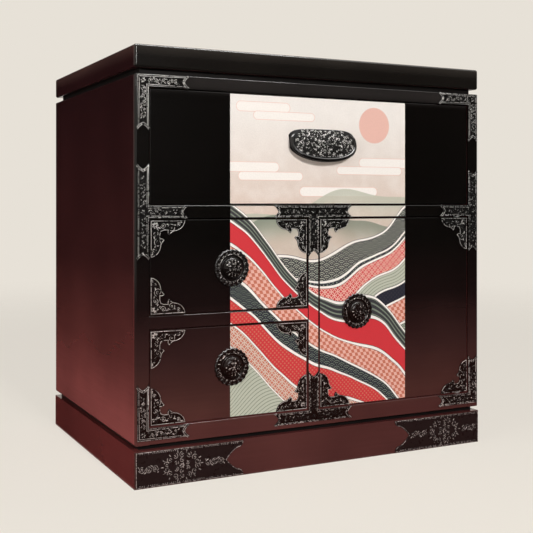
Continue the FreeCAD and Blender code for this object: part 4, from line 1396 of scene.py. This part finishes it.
class CABINET_OT_straps(bpy.types.Operator):
    """Emboss the straps on the plinth: a medallion between scrolls, with pearled edges"""

    bl_idname = "cabinet.straps"
    bl_label = "Strap relief"

    def execute(self, context):
        sizes = context.scene.cabinet.relief
        low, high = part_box("plinth_straps")
        middle_z = (low[2] + high[2]) / 2
        middle = (sizes.strap_length - sizes.strap_bay) / 2
        pearls = int((sizes.strap_length - 2 * PEARL_INSET) / PEARL_STEP)
        bm = bmesh.new()
        rims(bm, "plinth_straps", sizes.rim_margin, sizes.rim)
        for x, across in both_ways(low, high, 0):
            seat = Seat(x, low[1], middle_z, across)
            self.medallion(bm, seat, middle, sizes.stem)
            for side in (-1, 1):
                vine(bm, seat, (middle + side * STRAP_VINE_AT, 0), (side, 0), *STRAP_VINE, sizes.stem)
            for index in range(pearls):
                for row in (-1, 1):
                    v = row * (sizes.strap_half - PEARL_MARGIN)
                    pearl(bm, seat, PEARL_INSET + index * PEARL_STEP, v, PEARL_RADIUS)
        piece("plinth_straps_relief", bm, "carcass", "strap relief", "iron")
        return {"FINISHED"}

    def medallion(self, bm, seat, middle, stem):
        """A wreath of scrolls round a flower, with leaves that point out of it."""
        flower(bm, seat, middle, 0, *WREATH_FLOWER, stem)
        for count, wide, tall, radius in WREATH_RINGS:
            for step, turn, u, v in around(count, wide, tall, 0.5):
                hand = 1 if step % 2 else -1
                scroll(bm, seat, middle + u, v, radius, turn, WREATH_TURNS * hand, stem)
        for step, turn, u, v in around(*WREATH_TIPS):
            leaf(bm, seat, middle + u, v, turn, *WREATH_LEAF, stem)


class CABINET_OT_knobs(bpy.types.Operator):
    """Model the rosette knobs"""

    bl_idname = "cabinet.knobs"
    bl_label = "Knobs"

    def execute(self, context):
        sizes = context.scene.cabinet.knob
        stem = context.scene.cabinet.relief.stem
        boss = sizes.boss
        plate = sizes.radius - KNOB_LIP
        edge = [(plate + step, height) for step, height in KNOB_EDGE]
        foot = [(boss + step, height) for step, height in KNOB_FOOT]
        groove = [(boss + step, height) for step, height in KNOB_GROOVE]
        for node, body in KNOBS:
            low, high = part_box(node)
            centre = Vector(((low[0] + high[0]) / 2, high[1], (low[2] + high[2]) / 2))
            crown = high[1] - low[1] - sizes.flower_rise
            slope = [(boss + step, height * crown) for step, height in KNOB_DOME] + [(0, crown)]
            bm = bmesh.new()
            turned(bm, centre, [(0, 0), (plate, 0)] + edge + foot + groove + slope)
            ring = Dome(centre, edge + foot)
            dome = Dome(centre, slope)
            relief = bmesh.new()
            self.petal_ring(bm, relief, ring, sizes, stem)
            self.crown_flower(relief, dome, sizes, stem)
            rim = bmesh.new()
            ring.circle(rim, plate + LIP_RING[0], LIP_RING[1], sizes.petals, sizes.petal_dip)
            dome.circle(rim, boss + CROWN_RING[0], CROWN_RING[1])
            piece(node + "_rosette", bm, body, "satin iron", "iron", node)
            piece(node + "_rim", rim, body, "smooth iron", "iron")
            piece(node + "_relief", relief, body, "knob relief", "iron")
        return {"FINISHED"}

    def petal_ring(self, bm, relief, ring, sizes, stem):
        """Petals that scallop the plate, each with a hoop and a vein, between two raised rings."""
        seat = Seat(ring.centre.x, ring.centre.y - PETAL_LIFT, ring.centre.z)
        middle = sizes.radius - sizes.petal_long
        foot = sizes.boss + HOOP_FOOT
        tip = sizes.radius - HOOP_TIP
        for step, angle, u, v in around(sizes.petals, middle, middle, 0.5):
            point, out = seat.at(u, v)
            along = Vector((u, 0, v))
            drop(bm, point, out, along, sizes.petal_wide, PETAL_TALL, sizes.petal_long, PETAL_FACES)
            hoop = []
            for bend in range(HOOP_STEPS + 1):
                done = bend / HOOP_STEPS
                turn = angle + (done - 0.5) * HOOP_SHARE * TURN / sizes.petals
                reach = foot + (tip - foot) * math.sin(math.pi * done)
                hoop.append((*ring.at(*polar(reach, turn)), stem, stem * HOOP_TALL))
            bead_line(relief, hoop)
            leaf(relief, ring, *polar((foot + tip) / 2, angle), angle, *VEIN, stem * VEIN_TALL)
        ring.circle(relief, sizes.boss + FOOT_RING[0], FOOT_RING[1])

    def crown_flower(self, relief, dome, sizes, stem):
        """A flower of petals and scrolls on the boss."""
        rings = ((sizes.flower, CROWN_OUTER), (CROWN_INNER_REACH, CROWN_INNER))
        for reach, (count, long, wide) in rings:
            for step, turn, u, v in around(count, reach, reach):
                leaf(relief, dome, u, v, turn, long, wide, stem * VEIN_TALL)
        for step, turn, u, v in around(CROWN_SCROLLS, CROWN_SCROLL_REACH, CROWN_SCROLL_REACH, 0.5):
            hand = 1 if step % 2 else -1
            scroll(relief, dome, u, v, CROWN_SCROLL, turn, CROWN_TURNS * hand, stem * CROWN_STEM)
        pearl(relief, dome, 0, 0, CROWN_PEARL)


class CABINET_OT_pull(bpy.types.Operator):
    """Emboss the cup pull and roll the rim along its foot and ends"""

    bl_idname = "cabinet.pull"
    bl_label = "Pull relief"

    def execute(self, context):
        sizes = context.scene.cabinet.pull
        low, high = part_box("flap_pull")
        shell = Shell("flap_pull", high[2] - sizes.above)
        bm = bmesh.new()
        self.rolled(bm, shell, sizes, sizes.rim_margin, sizes.rim)
        piece("flap_pull_rim", bm, "flap", "rim iron", "iron")
        bm = bmesh.new()
        self.rolled(bm, shell, sizes, sizes.line_margin, sizes.line)
        self.fill(bm, shell, sizes, context.scene.cabinet.relief.stem)
        piece("flap_pull_relief", bm, "flap", "pull relief", "iron")
        return {"FINISHED"}

    def half_outline(self, sizes, v):
        """Squareness and height of the upper or lower half of the outline."""
        return (sizes.low_square, sizes.below) if v < 0 else (sizes.top_square, sizes.above)

    def rolled(self, bm, shell, sizes, margin, thick):
        """A bead that keeps inside the outline by a margin and tapers at the ends."""
        stations = []
        for step in range(RIM_STEPS + 1):
            done = step / RIM_STEPS
            across, up = polar(1, math.pi * (1 - RIM_OVER) + math.pi * (1 + 2 * RIM_OVER) * done)
            square, tall = self.half_outline(sizes, up)
            u = math.copysign(abs(across) ** (2 / square), across) * (sizes.width / 2 - margin)
            v = math.copysign(abs(up) ** (2 / square), up) * (tall - margin)
            half = thick * min(1, (done + RIM_TIP) * RIM_SLOPE, (1 - done + RIM_TIP) * RIM_SLOPE)
            stations.append((*shell.at(u, v), half, half))
        bead_line(bm, stations)

    def fill(self, bm, shell, sizes, stem):
        """Rows of scrolls and leaves from the top edge down to the line inside the rim."""
        hand = 1
        radius = sizes.scroll
        row = sizes.above - radius - sizes.top_margin
        while row > sizes.line_margin + radius - sizes.below:
            square, tall = self.half_outline(sizes, row)
            near = min(1, (abs(row) + radius * FILL_NEAR) / tall)
            margin = sizes.line_margin if row < RIM_TOP * sizes.above else radius / 2
            reach = max(radius, (1 - near ** square) ** (1 / square) * sizes.width / 2 - margin)
            count = max(1, round(reach / radius))
            gap = 2 * reach / count
            for index in range(count):
                u = (index + 0.5) * gap - reach
                start = FILL_START * index + row / MM
                scroll(bm, shell, u, row, radius * FILL_RADIUS, start, FILL_TURNS * hand, stem)
                if index + 1 < count:
                    level = row + radius * FILL_LEAF_AT * hand
                    leaf(bm, shell, u + gap / 2, level, hand, *FILL_LEAF, stem)
                hand = -hand
            row -= radius * FILL_ROW


class CABINET_OT_stage(bpy.types.Operator):
    """Set the floor, the background, the lamps and the camera"""

    bl_idname = "cabinet.stage"
    bl_label = "Stage"

    def execute(self, context):
        scene = context.scene
        look = scene.cabinet.stage
        self.lay_floor(look)
        self.light_air(scene, look)
        for name, place, target, extent, colour, unseen_by in LAMPS:
            made = lamp(name + " lamp", getattr(look, name), place, target, extent, colour)
            hide_from(made, *unseen_by)
        for flag in FLAGS:
            self.dark_flag(*flag)
        camera = bpy.data.cameras.new("camera")
        camera.lens = look.lens
        camera.shift_y = look.rise
        stand = linked("camera", camera)
        stand.location = Vector(look.camera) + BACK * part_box("side_left")[0][1]
        stand.rotation_euler = (UPRIGHT, 0, look.heading)
        scene.camera = stand
        scene.view_settings.view_transform = "Standard"
        return {"FINISHED"}

    def lay_floor(self, look):
        """A wide pale floor that fades into the background."""
        bm = bmesh.new()
        bmesh.ops.create_grid(bm, x_segments=1, y_segments=1, size=FLOOR_HALF)
        material, place, (x, y, z) = new_finish("floor")
        far = spread(x, y).between(*FLOOR_FADE)
        base = (noise(place, *FLOOR_MOTTLE) * FLOOR_MOTTLED).mix(look.floor, WHITE)
        plain = place.node("BsdfDiffuse", {"Color": base})
        glow = place.node("Emission", {"Color": look.backdrop, "Strength": look.glow})
        seen = place.node("LightPath", {}, output="Is Camera Ray")
        calm = place.node("MixShader", {0: seen * look.calm, 1: plain, 2: glow})
        clear = place.node("BsdfTransparent", {})
        both = place.node("MixShader", {0: far, 1: calm, 2: clear})
        place.node("OutputMaterial", {"Surface": both})
        floor = mesh_object("floor", bm, material)

    def dark_flag(self, name, place, tilt, turn, width, height):
        """A dark card that only gloss sees, so that the lacquer mirrors a dark room."""
        bm = bmesh.new()
        shape = Matrix.Rotation(tilt, 4, "X") @ Matrix.Diagonal((width / 2, height / 2, 1, 1))
        stand = Matrix.Translation(place) @ Matrix.Rotation(turn, 4, "Z")
        bmesh.ops.create_grid(bm, x_segments=1, y_segments=1, size=1, matrix=stand @ shape)
        material, spot, axes = new_finish(name)
        shade = noise(spot, *FLAG_CLOTH).between(*EVEN_CHANGE).mix(*FLAG_LOOK)
        dull = spot.node("BsdfDiffuse", {"Color": shade})
        spot.node("OutputMaterial", {"Surface": dull})
        flag = mesh_object(name, bm, material)
        hide_from(flag, "camera", "diffuse", "transmission", "shadow")

    def light_air(self, scene, look):
        """A background that camera, gloss and glass see, and softer light from it on the object."""
        world = bpy.data.worlds.new("studio")
        world.use_nodes = True
        tree = world.node_tree
        tree.nodes.clear()
        start = Wire(tree)
        seen = start.node("LightPath", {}, output=("Is Camera Ray", "Is Glossy Ray", "Is Transmission Ray"))
        shown = seen[0].high(seen[1]).high(seen[2])
        strength = shown * (1 - look.air) + look.air
        hue = shown.mix(look.neutral, look.backdrop)
        glow = start.node("Background", {"Color": hue, "Strength": strength})
        start.node("OutputWorld", {"Surface": glow})
        scene.world = world


class CABINET_PT_panel(bpy.types.Panel):
    """Lists the steps that dress the cabinet"""

    bl_idname = "CABINET_PT_panel"
    bl_label = "Side cabinet"
    bl_space_type = "VIEW_3D"
    bl_region_type = "UI"
    bl_category = "Cabinet"

    def draw(self, context):
        for operator in OPERATORS:
            self.layout.operator(operator.bl_idname)


GROUPS = (
    LacquerLook, IronLook, PrintLook, WoodLook, ReliefSizes, KnobSizes, PullSizes, StageSizes,
    CabinetSettings,
)
OPERATORS = (
    CABINET_OT_finishes, CABINET_OT_brackets, CABINET_OT_clouds, CABINET_OT_straps, CABINET_OT_knobs,
    CABINET_OT_pull, CABINET_OT_stage,
)
CLASSES = GROUPS + OPERATORS + (CABINET_PT_panel,)


def register():
    """Register the settings, the operators and the panel."""
    for kind in CLASSES:
        bpy.utils.register_class(kind)
    bpy.types.Scene.cabinet = PointerProperty(type=CabinetSettings)


def unregister():
    """Take them out again."""
    del bpy.types.Scene.cabinet
    for kind in reversed(CLASSES):
        bpy.utils.unregister_class(kind)


def main():
    """Dress the cabinet, one operator after another."""
    register()
    bpy.ops.cabinet.finishes()
    bpy.ops.cabinet.brackets()
    bpy.ops.cabinet.clouds()
    bpy.ops.cabinet.straps()
    bpy.ops.cabinet.knobs()
    bpy.ops.cabinet.pull()
    bpy.ops.cabinet.stage()


if __name__ == "__main__":
    main()
